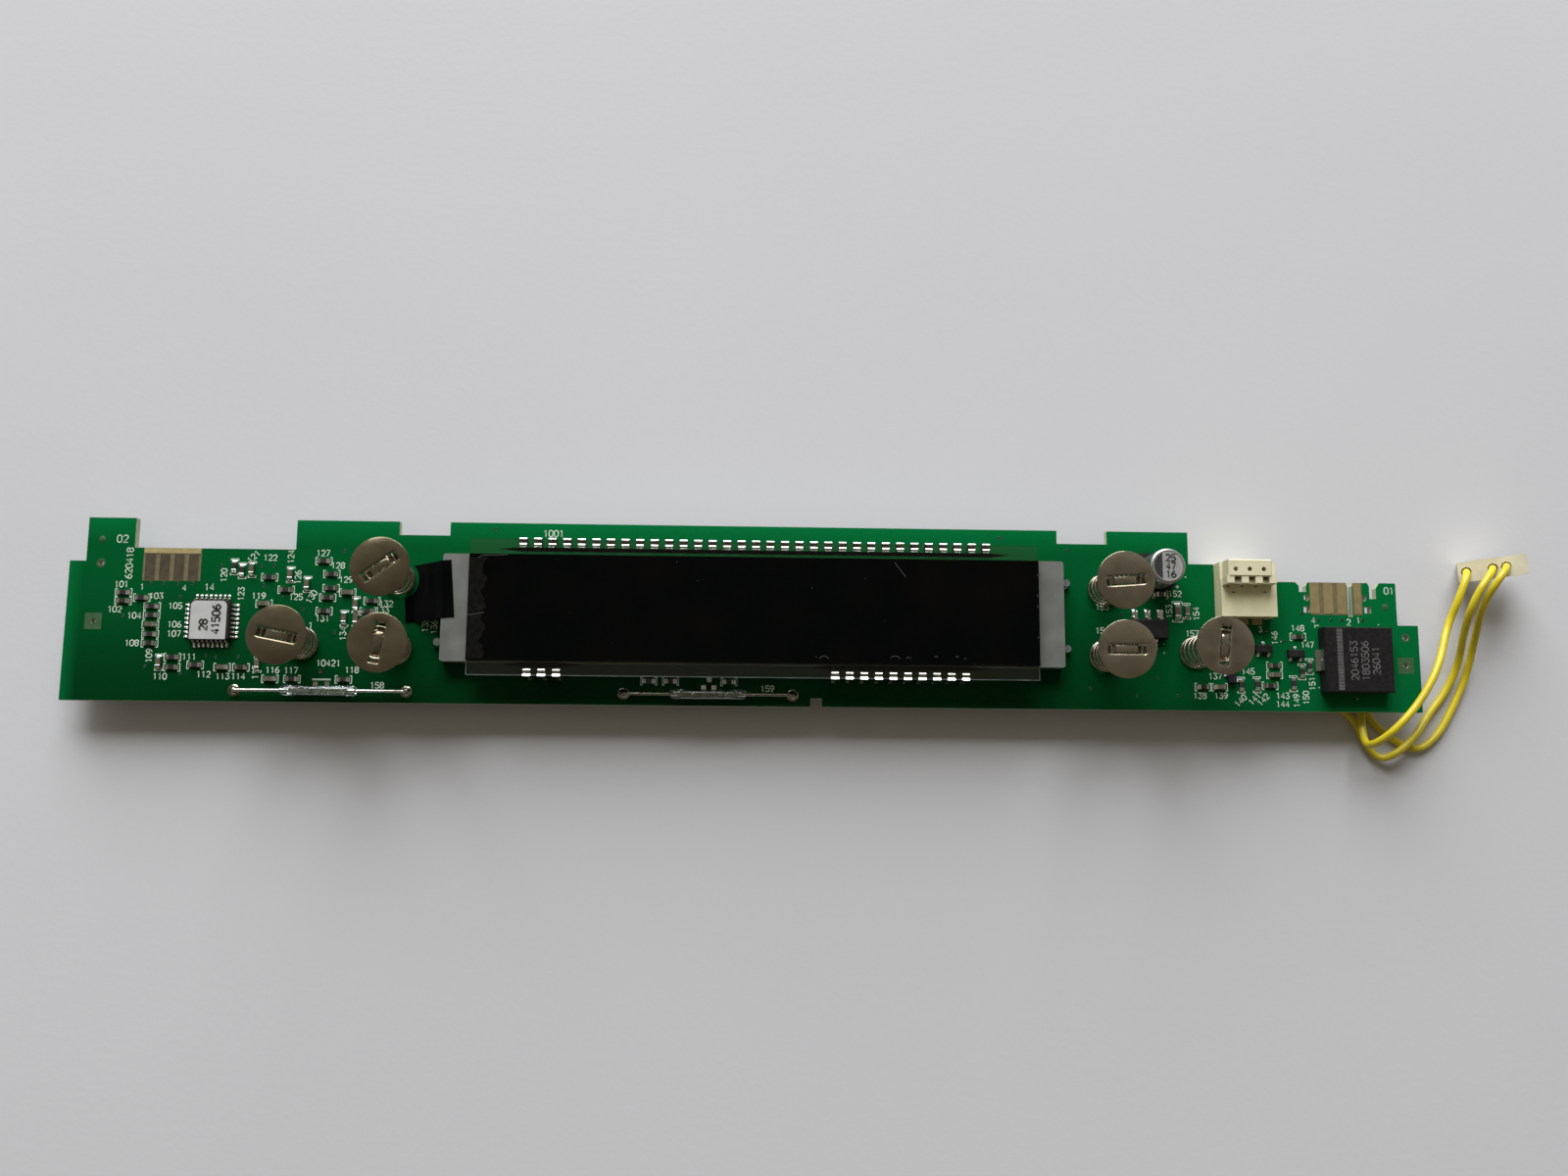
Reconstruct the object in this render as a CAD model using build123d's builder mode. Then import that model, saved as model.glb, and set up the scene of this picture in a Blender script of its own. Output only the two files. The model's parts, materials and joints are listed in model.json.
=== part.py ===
"""Refrigerator display board: a long circuit board that carries a segment display, six sprung touch discs,
two reed switches, a buzzer, a controller and an edge plug with three loose wires.

Millimetres, +Z up. The origin is the middle of the board's outline, at the surface that the board stands on.
X runs along the board and Y from its front edge to its connector edge.
"""

import os
from math import cos, pi, radians, sin, sqrt, tan

from build123d import *

os.makedirs("parts", exist_ok=True)

# ------------------------------------------------------------------ driving sizes
display_length = 99.6
board_depth = 32.2
board_thickness = 1.6
drop_below_board = 4.6  # how far the edge plug's lower jaw reaches under the board
seat_gap = 0.02  # room between a part and what it stands on, where a curved or sloping face meets it

# outline of the board, from its left end to its right end
corner_tab_inset = 2.8
corner_tab_width = 8.2
flash_recess_width = 28.1
second_tab_width = 18.0
left_break_off_width = 8.95
backlight_end = 4.9  # how far the backlight shows past each end of the glass
main_run_inset = 0.375
right_break_off_width = 9.1
right_tab_width = 14.8
plug_shoulder_width = 4.65
plug_width = 10.0
plug_to_tongue = 6.75
tongue_length = 11.6
right_slot_width = 1.2
end_land_width = 3.65
end_tab_width = 3.75
slot_mouth_chamfer = 0.65

backlight_length = display_length + 2 * backlight_end
main_run_length = backlight_length - 2 * main_run_inset
left_wing_length = (
    corner_tab_inset + corner_tab_width + flash_recess_width + second_tab_width + left_break_off_width
)
right_wing_length = (
    right_break_off_width
    + right_tab_width
    + plug_shoulder_width
    + plug_width
    + plug_to_tongue
    + tongue_length
    + right_slot_width
    + end_land_width
    + end_tab_width
)
board_length = left_wing_length + main_run_length + right_wing_length
left = -board_length / 2
right = board_length / 2
front = -board_depth / 2
back = board_depth / 2
underside = drop_below_board
board_top = underside + board_thickness

main_run_x = left + left_wing_length
main_run_end = main_run_x + main_run_length
second_tab_end = main_run_x - left_break_off_width
second_tab_x = second_tab_end - second_tab_width
recess_x = second_tab_x - flash_recess_width
right_tab_x = main_run_end + right_break_off_width
plug_left = right_tab_x + right_tab_width + plug_shoulder_width
plug_right = plug_left + plug_width
plug_middle = plug_left + plug_width / 2
tongue_left = plug_right + plug_to_tongue
tongue_right = tongue_left + tongue_length

# how far each stretch of the back edge is set in
break_off_depth = 2.4
flash_recess_depth = 5.3
left_shoulder_depth = 7.75
right_shoulder_depth = 5.8
plug_edge_depth = 8.85
end_step_depth = 16.55
front_notch_x = 11.2
front_notch_width = 2.05
front_notch_depth = 1.5
left_shoulder_y = back - left_shoulder_depth
flash_edge_y = back - flash_recess_depth
break_off_floor_y = back - break_off_depth
right_shoulder_y = back - right_shoulder_depth
plug_edge_y = back - plug_edge_depth
end_step_y = back - end_step_depth
end_tab_x = right - end_tab_width

# edge connector tongues
pad_pitch = 2.5
pad_width = 1.9
pad_thickness = 0.06
key_slot_offset = 7.95  # from the tongue's left side
key_slot_width = 0.85
key_slot_depth = 6.25
left_slot_width = 1.3
left_slot_depth = 1.75
right_slot_depth = 2.9
tongue_pad_length = 5.7
tongue_pad_width = 1.7
tongue_pad_margin = 0.2
last_pad_width = 1.3
latch_hole_radius = 0.45
latch_hole_depth = 2.75
latch_window_width = 1.2
latch_window_length = 1.2
latch_window_depth = 4.95
flash_pad_offset = 6.7  # from the recess's left side to the middle of its four pads
flash_pad_length = 5.7
post_hole_radius = 0.5

# display
display_x = (main_run_x + main_run_end) / 2
lower_glass_depth = 23.8
lower_glass_y = 0.55
lower_glass_thickness = 1.1
front_ledge = 2.45
back_ledge = 2.75
upper_glass_thickness = 0.7
polariser_depth = lower_glass_depth - front_ledge - back_ledge
polariser_thickness = 0.2
polariser_inset = 0.1
display_y = lower_glass_y + (front_ledge - back_ledge) / 2
backlight_lip = 0.15
backlight_shift_y = 0.1
backlight_depth = polariser_depth + 2 * backlight_lip
backlight_y = display_y + backlight_shift_y
backlight_thickness = 3.2
backlight_corner = 0.3
peg_radius = 0.7
peg_clearance = 0.15
peg_height = 1.1
peg_offset_y = 5.9
peg_reach = 0.95

# clip-on pins along both ledges of the display
pin_pitch = 2.54
upper_pin_count = 33
lower_grid_count = 32
lower_pin_slots = [0, 1, 2] + list(range(21, 31))
clip_width = 1.4
clip_reach = 1.5
clip_thickness = 0.25
leg_width = 0.5
drill_width = 0.65
resin_thickness = 0.3
resin_depth = 0.7
resin_tail = 3.6

# touch keys: a stamped disc hooked on a coil spring
disc_diameter = 10.0
disc_thickness = 0.3
disc_height = 13.0  # from the board to the top of the disc
window_length = 6.8
window_width = 1.7
bridge_width = 1.1
bridge_dip = 0.93
bridge_thickness = 0.25
spring_radius = 2.7
spring_wire = 0.45
spring_turns = 8.0
spring_flat_turns = 0.75
spring_seat_gap = 0.05
coil_end_turn = 98.0  # from the coil's end to where it passes under the bridge
spring_sides = 7
inner_key_run = 8.425  # from the end of the board's main run to the spring
outer_key_run = 24.775
key_shift_x = -0.175
key_middle_x = display_x + key_shift_x
inner_key_offset = main_run_length / 2 + inner_key_run
outer_key_offset = main_run_length / 2 + outer_key_run
# base x, base y, lean of the spring in x and y, turn of the disc's slot
keys = [
    (key_middle_x - outer_key_offset, -5.8, -0.3, 0.1, -11.0),
    (key_middle_x - inner_key_offset, 5.7, -0.2, 0.3, 36.0),
    (key_middle_x - inner_key_offset, -6.6, 0.0, -0.2, 81.0),
    (key_middle_x + inner_key_offset, 5.3, 0.5, 0.0, 4.5),
    (key_middle_x + inner_key_offset, -6.6, 0.4, 0.1, 0.0),
    (key_middle_x + outer_key_offset, -5.8, 0.9, 0.1, 84.0),
]

# controller, a flat pack with eight leads a side
controller_run = 40.7
controller_x = main_run_x - controller_run
controller_y = -2.05
controller_body = 7.0
controller_height = 1.55
controller_standoff = 0.15
controller_pitch = 0.8
controller_lead_width = 0.36
controller_lead_reach = 1.15
lead_thickness = 0.15
label_width = 6.2
label_length = 6.7
label_shift_x = -0.15
label_corner = 0.9
label_thickness = 0.08

# chip parts: body length, width and height, and how far the solder runs out from the end cap
chip_length = 1.6
chip_width = 0.8
resistor_height = 0.45
capacitor_height = 0.75
fillet_reach = 0.38
big_chip_scale = 1.35

# smoothing capacitor
can_run = 17.8
can_x = main_run_end + can_run
can_y = 8.7
can_radius = 3.15
can_height = 7.7
can_base_side = 6.6
can_base_height = 0.9
can_lead_reach = 0.9
can_lead_width = 0.9

# voltage regulator
regulator_run = 16.15
regulator_x = main_run_end + regulator_run
regulator_y = -1.75
regulator_length = 6.5
regulator_width = 3.5
regulator_height = 1.7
regulator_pitch = 2.3
regulator_lead_width = 0.75
regulator_tab_width = 3.0

# small transistors: x from the edge plug's left side, y, turn
transistor_length = 2.9
transistor_width = 1.4
transistor_height = 1.0
transistors = [(8.35, -5.0, 0.0), (14.15, -5.8, 0.0), (2.4, -9.75, 90.0)]

# buzzer
buzzer_length = 12.2
buzzer_width = 11.6
buzzer_height = 3.0
buzzer_x = plug_right + 14.65
buzzer_y = -6.95
vent_width = 1.1
vent_depth = 0.1
vent_margin = 0.3
vent_x = -3.5
buzzer_tab_width = 3.8

# reed switches
left_reed_run = 21.35
middle_reed_shift = 8.075
reed_places = [main_run_x - left_reed_run, display_x - middle_reed_shift]
reed_inset = 1.95
reed_y = front + reed_inset
reed_glass_length = 13.3
reed_glass_radius = 0.9
reed_glass_wall = 0.22
reed_glass_sides = 12
glass_shoulder = 0.5
reed_lead_radius = 0.27
reed_lead_span = 29.7
reed_lift = 1.25
reed_seal_length = 1.6
reed_blade_width = 0.9
reed_blade_thickness = 0.2
reed_blade_overlap = 1.2
solder_dome_radius = 1.05

# edge plug
plug_front_y = plug_edge_y - 6.75
plug_front_depth = 6.65
plug_rear_depth = 3.15
plug_front_rise = 3.4
plug_rear_rise = 6.3
plug_side_wall = 1.2
plug_cover_width = 7.75
plug_cover_inset = 0.45
plug_clearance = 0.1
plug_tongue_floor_y = plug_edge_y - 6.85
probe_hole_radius = 0.42
probe_hole_depth = 3.0
notch_width = 1.45
notch_depth = 0.6
nub_width = 0.7
nub_reach = 0.18
contact_width = 0.8
contact_thickness = 0.25
wire_exit_z = 1.5

# wires and the five-way plug on them
wire_diameter = 1.35
wire_sides = 6  # flats round a wire's insulation
five_way_pitch = 2.2
five_way_length = 11.4
five_way_width = 3.7
five_way_height = 5.5
five_way_collar = 1.4
five_way_inset = 0.3
five_way_face = (45.85, 9.6)  # from the middle and the front of the edge plug
five_way_turn = 8.0
five_way_lean_left = 22.0
five_way_lean_front = 6.0
five_way_socket_radius = 0.9
five_way_socket_depth = 1.2
five_way_cavity_width = 1.5
five_way_cavity_depth = 3.0
wired_ways = [-2, 0, 1]  # counted from the middle way

# tape over the display's left end
tape_width = 10.1
tape_thickness = 0.12
tape_on_display = 1.9
tape_ramp = 5.2
tape_on_board = 2.0
tape_turn = 5.0
tape_y = 3.4

finished = []


def keep(piece, name):
    """Labels a finished piece and notes it for export."""
    piece.part.label = name
    finished.append((name, piece.part))


def turned(places, z):
    """Locations for a list of x, y, turn, all at one height."""
    return [Location((x, y, z), (0, 0, turn)) for x, y, turn in places]


def strip(outline, width):
    """A part with a constant side view: outline holds x, z points, and width runs along Y."""
    with BuildPart() as piece:
        with BuildSketch(Plane.XZ):
            with BuildLine():
                Polyline(*outline, close=True)
            make_face()
        extrude(amount=width / 2, both=True)
    return piece.part


def gull_lead(width, reach, shoulder, foot, thickness=lead_thickness):
    """A bent lead that leaves its body at x = 0, shoulder high, and stands on its foot at z = 0."""
    step = (reach - foot) / 2
    outline = [
        (0, shoulder),
        (step, shoulder),
        (step + thickness, thickness),
        (reach, thickness),
        (reach, 0),
        (step + thickness / 2, 0),
        (step - thickness / 2, shoulder - thickness),
        (0, shoulder - thickness),
    ]
    return strip(outline, width)


# ------------------------------------------------------------------ circuit board
plug_tongue_half = plug_width / 2 - plug_side_wall - plug_clearance
left_slot_x = tongue_left - left_slot_width
right_slot_end = tongue_right + right_slot_width
key_left = tongue_left + key_slot_offset - key_slot_width / 2
key_right = key_left + key_slot_width
corner_tab_x = left + corner_tab_inset
left_slot_floor_y = plug_edge_y - left_slot_depth
right_slot_floor_y = plug_edge_y - right_slot_depth
key_slot_floor_y = plug_edge_y - key_slot_depth

outline = [
    (left, front),
    (left, left_shoulder_y),
    (corner_tab_x, left_shoulder_y),
    (corner_tab_x, back),
    (recess_x, back),
    (recess_x, flash_edge_y),
    (second_tab_x, flash_edge_y),
    (second_tab_x, back),
    (second_tab_end, back),
    (second_tab_end, break_off_floor_y),
    (main_run_x, break_off_floor_y),
    (main_run_x, back),
    (main_run_end, back),
    (main_run_end, break_off_floor_y),
    (right_tab_x, break_off_floor_y),
    (right_tab_x, back),
    (right_tab_x + right_tab_width, back),
    (right_tab_x + right_tab_width, right_shoulder_y),
    (plug_left - plug_clearance, right_shoulder_y),
    (plug_left - plug_clearance, plug_tongue_floor_y),
    (plug_middle - plug_tongue_half, plug_tongue_floor_y),
    (plug_middle - plug_tongue_half, plug_edge_y),
    (plug_middle + plug_tongue_half, plug_edge_y),
    (plug_middle + plug_tongue_half, plug_tongue_floor_y),
    (plug_right + plug_clearance, plug_tongue_floor_y),
    (plug_right + plug_clearance, plug_edge_y),
    (left_slot_x - slot_mouth_chamfer, plug_edge_y),
    (left_slot_x, plug_edge_y - slot_mouth_chamfer),
    (left_slot_x, left_slot_floor_y),
    (tongue_left, left_slot_floor_y),
    (tongue_left, plug_edge_y - slot_mouth_chamfer),
    (tongue_left + slot_mouth_chamfer / 2, plug_edge_y),
    (key_left - slot_mouth_chamfer / 2, plug_edge_y),
    (key_left, plug_edge_y - slot_mouth_chamfer),
    (key_left, key_slot_floor_y),
    (key_right, key_slot_floor_y),
    (key_right, plug_edge_y - slot_mouth_chamfer),
    (key_right + slot_mouth_chamfer / 2, plug_edge_y),
    (tongue_right - slot_mouth_chamfer / 2, plug_edge_y),
    (tongue_right, plug_edge_y - slot_mouth_chamfer),
    (tongue_right, right_slot_floor_y),
    (right_slot_end, right_slot_floor_y),
    (right_slot_end, plug_edge_y - 1.5 * slot_mouth_chamfer),
    (right_slot_end + slot_mouth_chamfer, plug_edge_y),
    (end_tab_x, plug_edge_y),
    (end_tab_x, end_step_y),
    (right, end_step_y),
    (right, front),
    (front_notch_x + front_notch_width / 2, front),
    (front_notch_x + front_notch_width / 2, front + front_notch_depth),
    (front_notch_x - front_notch_width / 2, front + front_notch_depth),
    (front_notch_x - front_notch_width / 2, front),
]

glass_back = lower_glass_y + lower_glass_depth / 2
glass_front = lower_glass_y - lower_glass_depth / 2
leg_offset = clip_thickness / 2 + seat_gap
upper_leg_y = glass_back + leg_offset
lower_leg_y = glass_front - leg_offset
upper_pins = [display_x + (i - (upper_pin_count - 1) / 2) * pin_pitch for i in range(upper_pin_count)]
lower_pins = [display_x + (i - (lower_grid_count - 1) / 2) * pin_pitch for i in lower_pin_slots]
leg_places = [(x, upper_leg_y) for x in upper_pins] + [(x, lower_leg_y) for x in lower_pins]
peg_x = backlight_length / 2 + peg_reach
peg_places = [(display_x + sx * peg_x, backlight_y + sy * peg_offset_y) for sx in (-1, 1) for sy in (-1, 1)]
reed_ends = [(x + side * reed_lead_span / 2, reed_y) for x in reed_places for side in (-1, 1)]
post_holes = [
    (left + 4.8, left_shoulder_y - 10.65),
    (left + 5.4, left_shoulder_y - 0.35),
    (right - 2.6, end_step_y - 7.25),
    (right - 2.4, end_step_y - 2.25),
]
latch_y = plug_edge_y - latch_hole_depth
window_y = plug_edge_y - latch_window_depth

with BuildPart() as circuit_board:
    with BuildSketch(Plane.XY.offset(underside)):
        with BuildLine():
            Polyline(*outline, close=True)
        make_face()
        with Locations(*leg_places):
            Rectangle(drill_width, drill_width, mode=Mode.SUBTRACT)
        with Locations(*reed_ends):
            Rectangle(drill_width, drill_width, mode=Mode.SUBTRACT)
        with Locations(*peg_places):
            RegularPolygon(peg_radius + peg_clearance, 8, mode=Mode.SUBTRACT)
        with Locations(*post_holes):
            RegularPolygon(post_hole_radius, 8, mode=Mode.SUBTRACT)
        with Locations((tongue_left, latch_y), (tongue_right - 1.1, latch_y)):
            SlotOverall(latch_window_length, 2 * latch_hole_radius, rotation=90, mode=Mode.SUBTRACT)
        with Locations((tongue_left, window_y), (tongue_right - 0.45, window_y)):
            Rectangle(latch_window_width, latch_window_length, mode=Mode.SUBTRACT)
    extrude(amount=board_thickness)
keep(circuit_board, "circuit_board")

# ------------------------------------------------------------------ gold contact pads, on both faces
last_tongue_pad_x = key_left - tongue_pad_margin - tongue_pad_width / 2
four_way_pads = [(last_tongue_pad_x - i * pad_pitch, plug_edge_y) for i in range(3)]
flash_pad_x = recess_x + flash_pad_offset
flash_pads = [(flash_pad_x + (i - 1.5) * pad_pitch, flash_edge_y) for i in range(4)]
plug_pads = [(plug_middle + (i - 1) * pad_pitch, plug_edge_y) for i in range(3)]
plug_pad_length = plug_edge_y - plug_tongue_floor_y + 1.0
pad_groups = [(flash_pads, flash_pad_length), (plug_pads, plug_pad_length)]
with BuildPart() as edge_pads:
    for face_z in (board_top, underside - pad_thickness):
        with BuildSketch(Plane.XY.offset(face_z)):
            for places, length in pad_groups:
                with Locations(*places):
                    Rectangle(pad_width, length, align=(Align.CENTER, Align.MAX))
            with Locations(*four_way_pads):
                Rectangle(tongue_pad_width, tongue_pad_length, align=(Align.CENTER, Align.MAX))
            with Locations((key_right + slot_mouth_chamfer / 2, plug_edge_y)):
                Rectangle(last_pad_width, tongue_pad_length, align=(Align.MIN, Align.MAX))
        extrude(amount=pad_thickness)
keep(edge_pads, "edge_pads")

# ------------------------------------------------------------------ display
glass_floor = board_top + backlight_thickness + polariser_thickness
glass_top = glass_floor + lower_glass_thickness
cover_glass_top = glass_top + upper_glass_thickness

with BuildPart() as backlight:
    with BuildSketch(Plane.XY.offset(board_top)):
        with Locations((display_x, backlight_y)):
            backlight_face = Rectangle(backlight_length, backlight_depth)
        chamfer(backlight_face.vertices(), backlight_corner)
    extrude(amount=backlight_thickness)
    # a lug at each corner with a peg down through the board
    with BuildSketch(Plane.XY.offset(board_top)):
        with Locations(*peg_places):
            RegularPolygon(peg_radius, 8)
        with Locations(*[(x - peg_reach / 2 * (1 if x > display_x else -1), y) for x, y in peg_places]):
            Rectangle(peg_reach, peg_radius)
    extrude(amount=peg_height)
    with BuildSketch(Plane.XY.offset(underside)):
        with Locations(*peg_places):
            RegularPolygon(peg_radius, 8)
    extrude(amount=board_thickness)
keep(backlight, "backlight")

with BuildPart() as rear_polariser:
    with BuildSketch(Plane.XY.offset(glass_floor - polariser_thickness)):
        with Locations((display_x, display_y)):
            Rectangle(display_length, polariser_depth)
    extrude(amount=polariser_thickness)
keep(rear_polariser, "rear_polariser")

with BuildPart() as lower_glass:
    with BuildSketch(Plane.XY.offset(glass_floor)):
        with Locations((display_x, lower_glass_y)):
            Rectangle(display_length, lower_glass_depth)
    extrude(amount=lower_glass_thickness)
keep(lower_glass, "lower_glass")

with BuildPart() as upper_glass:
    with BuildSketch(Plane.XY.offset(glass_top)):
        with Locations((display_x, display_y)):
            Rectangle(display_length, polariser_depth)
    extrude(amount=upper_glass_thickness)
keep(upper_glass, "upper_glass")

with BuildPart() as front_polariser:
    with BuildSketch(Plane.XY.offset(cover_glass_top)):
        with Locations((display_x, display_y)):
            Rectangle(display_length - 2 * polariser_inset, polariser_depth - 2 * polariser_inset)
    extrude(amount=polariser_thickness)
keep(front_polariser, "front_polariser")

# ------------------------------------------------------------------ clip-on pins
# side view of one pin: x runs outwards from the edge of the glass, z up from the underside of the glass
clip_outer = seat_gap + clip_thickness
clip_outline = [
    (-clip_reach, lower_glass_thickness + seat_gap),
    (seat_gap, lower_glass_thickness + seat_gap),
    (seat_gap, -seat_gap),
    (-0.8 * clip_reach, -seat_gap),
    (-0.8 * clip_reach, -seat_gap - clip_thickness),
    (clip_outer, -seat_gap - clip_thickness),
    (clip_outer, lower_glass_thickness + seat_gap + clip_thickness),
    (-clip_reach, lower_glass_thickness + seat_gap + clip_thickness),
]
clip_underside = glass_floor - seat_gap - clip_thickness
leg_length = clip_underside - underside

with BuildPart() as one_pin:
    add(strip(clip_outline, clip_width))
    with BuildSketch(Plane.XY.offset(-seat_gap - clip_thickness)):
        with Locations((leg_offset, 0)):
            Rectangle(clip_thickness, leg_width)
    extrude(amount=-leg_length)

with BuildPart() as display_pins_back:
    with Locations(*turned([(x, glass_back, 90) for x in upper_pins], glass_floor)):
        add(one_pin.part)
keep(display_pins_back, "display_pins_back")

with BuildPart() as display_pins_front:
    with Locations(*turned([(x, glass_front, -90) for x in lower_pins], glass_floor)):
        add(one_pin.part)
keep(display_pins_front, "display_pins_front")


def resin_bead(x_from, x_to, y_from, y_to):
    """A flat bead of clear resin beside a row of pins, drawn out to a point at both ends."""
    middle = (y_from + y_to) / 2
    with BuildPart() as bead:
        with BuildSketch(Plane.XY.offset(glass_top)):
            with BuildLine():
                Polyline(
                    (x_from, y_from),
                    (x_to, y_from),
                    (x_to + resin_tail, middle),
                    (x_to, y_to),
                    (x_from, y_to),
                    (x_from - resin_tail, middle),
                    close=True,
                )
            make_face()
        extrude(amount=resin_thickness)
    return bead.part


resin_back_y = glass_back - clip_reach - seat_gap
resin_front_y = glass_front + clip_reach + seat_gap
pin_half = clip_width / 2
back_bead = (resin_back_y - resin_depth, resin_back_y)
front_bead = (resin_front_y, resin_front_y + resin_depth)
with BuildPart() as pin_resin:
    add(resin_bead(upper_pins[0] - pin_half, upper_pins[-1] + pin_half, *back_bead))
    add(resin_bead(lower_pins[0] - pin_half, lower_pins[2] + pin_half, *front_bead))
    add(resin_bead(lower_pins[3] - pin_half, lower_pins[-1] + pin_half, *front_bead))
keep(pin_resin, "pin_resin")

# ------------------------------------------------------------------ touch keys
disc_floor = board_top + disc_height - disc_thickness
bridge_outer = window_length / 2 - 0.1
bridge_foot = bridge_outer - 0.35
bridge_rise = spring_radius - spring_wire / 2 - 0.35
bridge_crown = bridge_rise - 0.45
# side view of the bridge, from the disc's own level down around the last coil and up again to its crown
bridge_top = [
    (-window_length / 2, 0),
    (-bridge_outer, 0),
    (-bridge_foot, -bridge_dip),
    (-bridge_rise, -bridge_dip),
    (-bridge_crown, -0.15),
    (bridge_crown, -0.15),
    (bridge_rise, -bridge_dip),
    (bridge_foot, -bridge_dip),
    (bridge_outer, 0),
    (window_length / 2, 0),
]
bridge_outline = bridge_top + [(x, z - bridge_thickness) for x, z in reversed(bridge_top)]

with BuildPart() as stamped_disc:
    with BuildSketch(Plane.XY.offset(-disc_thickness)):
        Circle(disc_diameter / 2)
        Rectangle(window_length, window_width, mode=Mode.SUBTRACT)
    extrude(amount=disc_thickness)
    add(strip(bridge_outline, bridge_width))

spring_floor = board_top + spring_wire / 2 + spring_seat_gap
spring_ceiling = disc_floor - spring_wire / 2 - spring_seat_gap
coil_steps = round(spring_sides * spring_turns)


def coil_point(step, lean_x, lean_y, slot_turn):
    """A point of the coil: flat at both ends, leaning as it climbs, its flat top under the bridge."""
    turn = step / spring_sides
    climb = (turn - spring_flat_turns) / (spring_turns - 2 * spring_flat_turns)
    climb = min(max(climb, 0.0), 1.0)
    angle = 2 * pi * turn + radians(slot_turn - coil_end_turn)
    x = spring_radius * cos(angle) + lean_x * climb
    y = spring_radius * sin(angle) + lean_y * climb
    return (x, y, spring_floor + (spring_ceiling - spring_floor) * climb)


for number, (base_x, base_y, lean_x, lean_y, slot_turn) in enumerate(keys, start=1):
    with BuildPart() as touch_disc:
        place = (base_x + lean_x, base_y + lean_y, board_top + disc_height)
        with Locations(Location(place, (0, 0, slot_turn))):
            add(stamped_disc.part)
    keep(touch_disc, f"touch_disc_{number}")

    coil = [coil_point(step, lean_x, lean_y, slot_turn) for step in range(coil_steps + 1)]
    coil = [(base_x + x, base_y + y, z) for x, y, z in coil]
    with BuildPart() as touch_spring:
        with BuildLine() as coil_path:
            Polyline(*coil)
        with BuildSketch(Plane(origin=coil[0], z_dir=coil_path.line % 0, x_dir=(0, 0, 1))):
            Rectangle(spring_wire, spring_wire)
        sweep(path=coil_path.line, transition=Transition.RIGHT)
    keep(touch_spring, f"touch_spring_{number}")

# ------------------------------------------------------------------ controller
controller_shoulder = controller_standoff + controller_height * 0.55
controller_corner = 0.35
lead_row = [(i - 3.5) * controller_pitch for i in range(8)]
side_leads = [
    (controller_x + cos(radians(turn)) * controller_body / 2 - sin(radians(turn)) * along,
     controller_y + sin(radians(turn)) * controller_body / 2 + cos(radians(turn)) * along,
     turn)
    for turn in (0, 90, 180, 270)
    for along in lead_row
]

with BuildPart() as controller:
    with BuildSketch(Plane.XY.offset(board_top + controller_standoff)):
        with Locations((controller_x, controller_y)):
            Rectangle(controller_body, controller_body)
    extrude(amount=controller_height - controller_standoff)
    chamfer(controller.edges().filter_by(Axis.Z), controller_corner)
    chamfer(controller.faces().sort_by(Axis.Z)[-1].edges(), controller_standoff)
keep(controller, "controller")

with BuildPart() as controller_leads:
    with Locations(*turned(side_leads, board_top)):
        add(gull_lead(controller_lead_width, controller_lead_reach, controller_shoulder, 0.55))
keep(controller_leads, "controller_leads")

with BuildPart() as controller_label:
    with BuildSketch(Plane.XY.offset(board_top + controller_height)):
        with Locations((controller_x + label_shift_x, controller_y)):
            label_face = Rectangle(label_width, label_length)
        fillet(label_face.vertices().group_by(Axis.Y)[-1], label_corner)
    extrude(amount=label_thickness)
keep(controller_label, "controller_label")

# ------------------------------------------------------------------ chip resistors and capacitors
# x from the main run's left end, y, turn
left_resistors = [
    (-56.35, 2.8, 0), (-56.35, 1.3, 0), (-53.15, 1.9, 0), (-51.25, 0.4, 0), (-51.25, -1.15, 0),
    (-51.25, -4.5, 0), (-51.25, -6.1, 0), (-47.15, -8.5, 0), (-47.15, -10.25, 0), (-43.15, -9.8, 0),
    (-35.25, -10.15, 0), (-37.45, 7.6, 90), (-36.05, 6.9, 90), (-31.25, 5.8, 0), (-28.25, 3.6, 0),
    (-21.95, 8.8, 0), (-20.45, 6.5, 0), (-20.45, 4.0, 0), (-20.95, 2.3, 0), (-21.45, -0.1, 0),
    (-13.2, 1.8, 0), (-13.85, -0.05, 0),
]
left_capacitors = [
    (-51.35, -2.8, 0), (-49.4, -9.4, 90), (-38.5, -10.15, 0), (-32.4, -9.55, 90), (-31.95, 1.1, 0),
    (-34.35, 7.15, 90), (-27.6, 6.3, 90), (-24.6, 4.6, 90), (-17.5, 3.25, 0), (-15.95, 1.1, 90),
    (-17.85, -1.35, 90), (-15.8, -1.4, 90),
]
# x from the main run's right end, y, turn
right_capacitors = [
    (18.6, 4.65, 0), (23.3, 1.7, 90),
]
big_capacitors = [
    (21.6, 1.6, 90),
]
# x from the edge plug's left side, y, turn
plug_resistors = [
    (-2.75, -11.9, 0), (4.15, -11.5, 90), (7.05, -11.4, 90), (9.4, -11.55, 0), (10.35, -7.95, 0),
    (14.85, -2.7, 0), (16.7, -8.05, 90), (15.3, -9.0, 90), (13.65, -11.15, 90),
]
plug_capacitors = [
    (0.25, -11.9, 0), (10.3, -9.6, 0),
]
# x of the chips in the rows over the reed switches
left_row_resistors = [-26.35, -17.45]
left_row_capacitors = [-30.15]
middle_row_resistors = [-18.575, -14.775, -4.475]
left_row_y = reed_y + 2.05
middle_row_y = reed_y + 2.3

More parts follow.
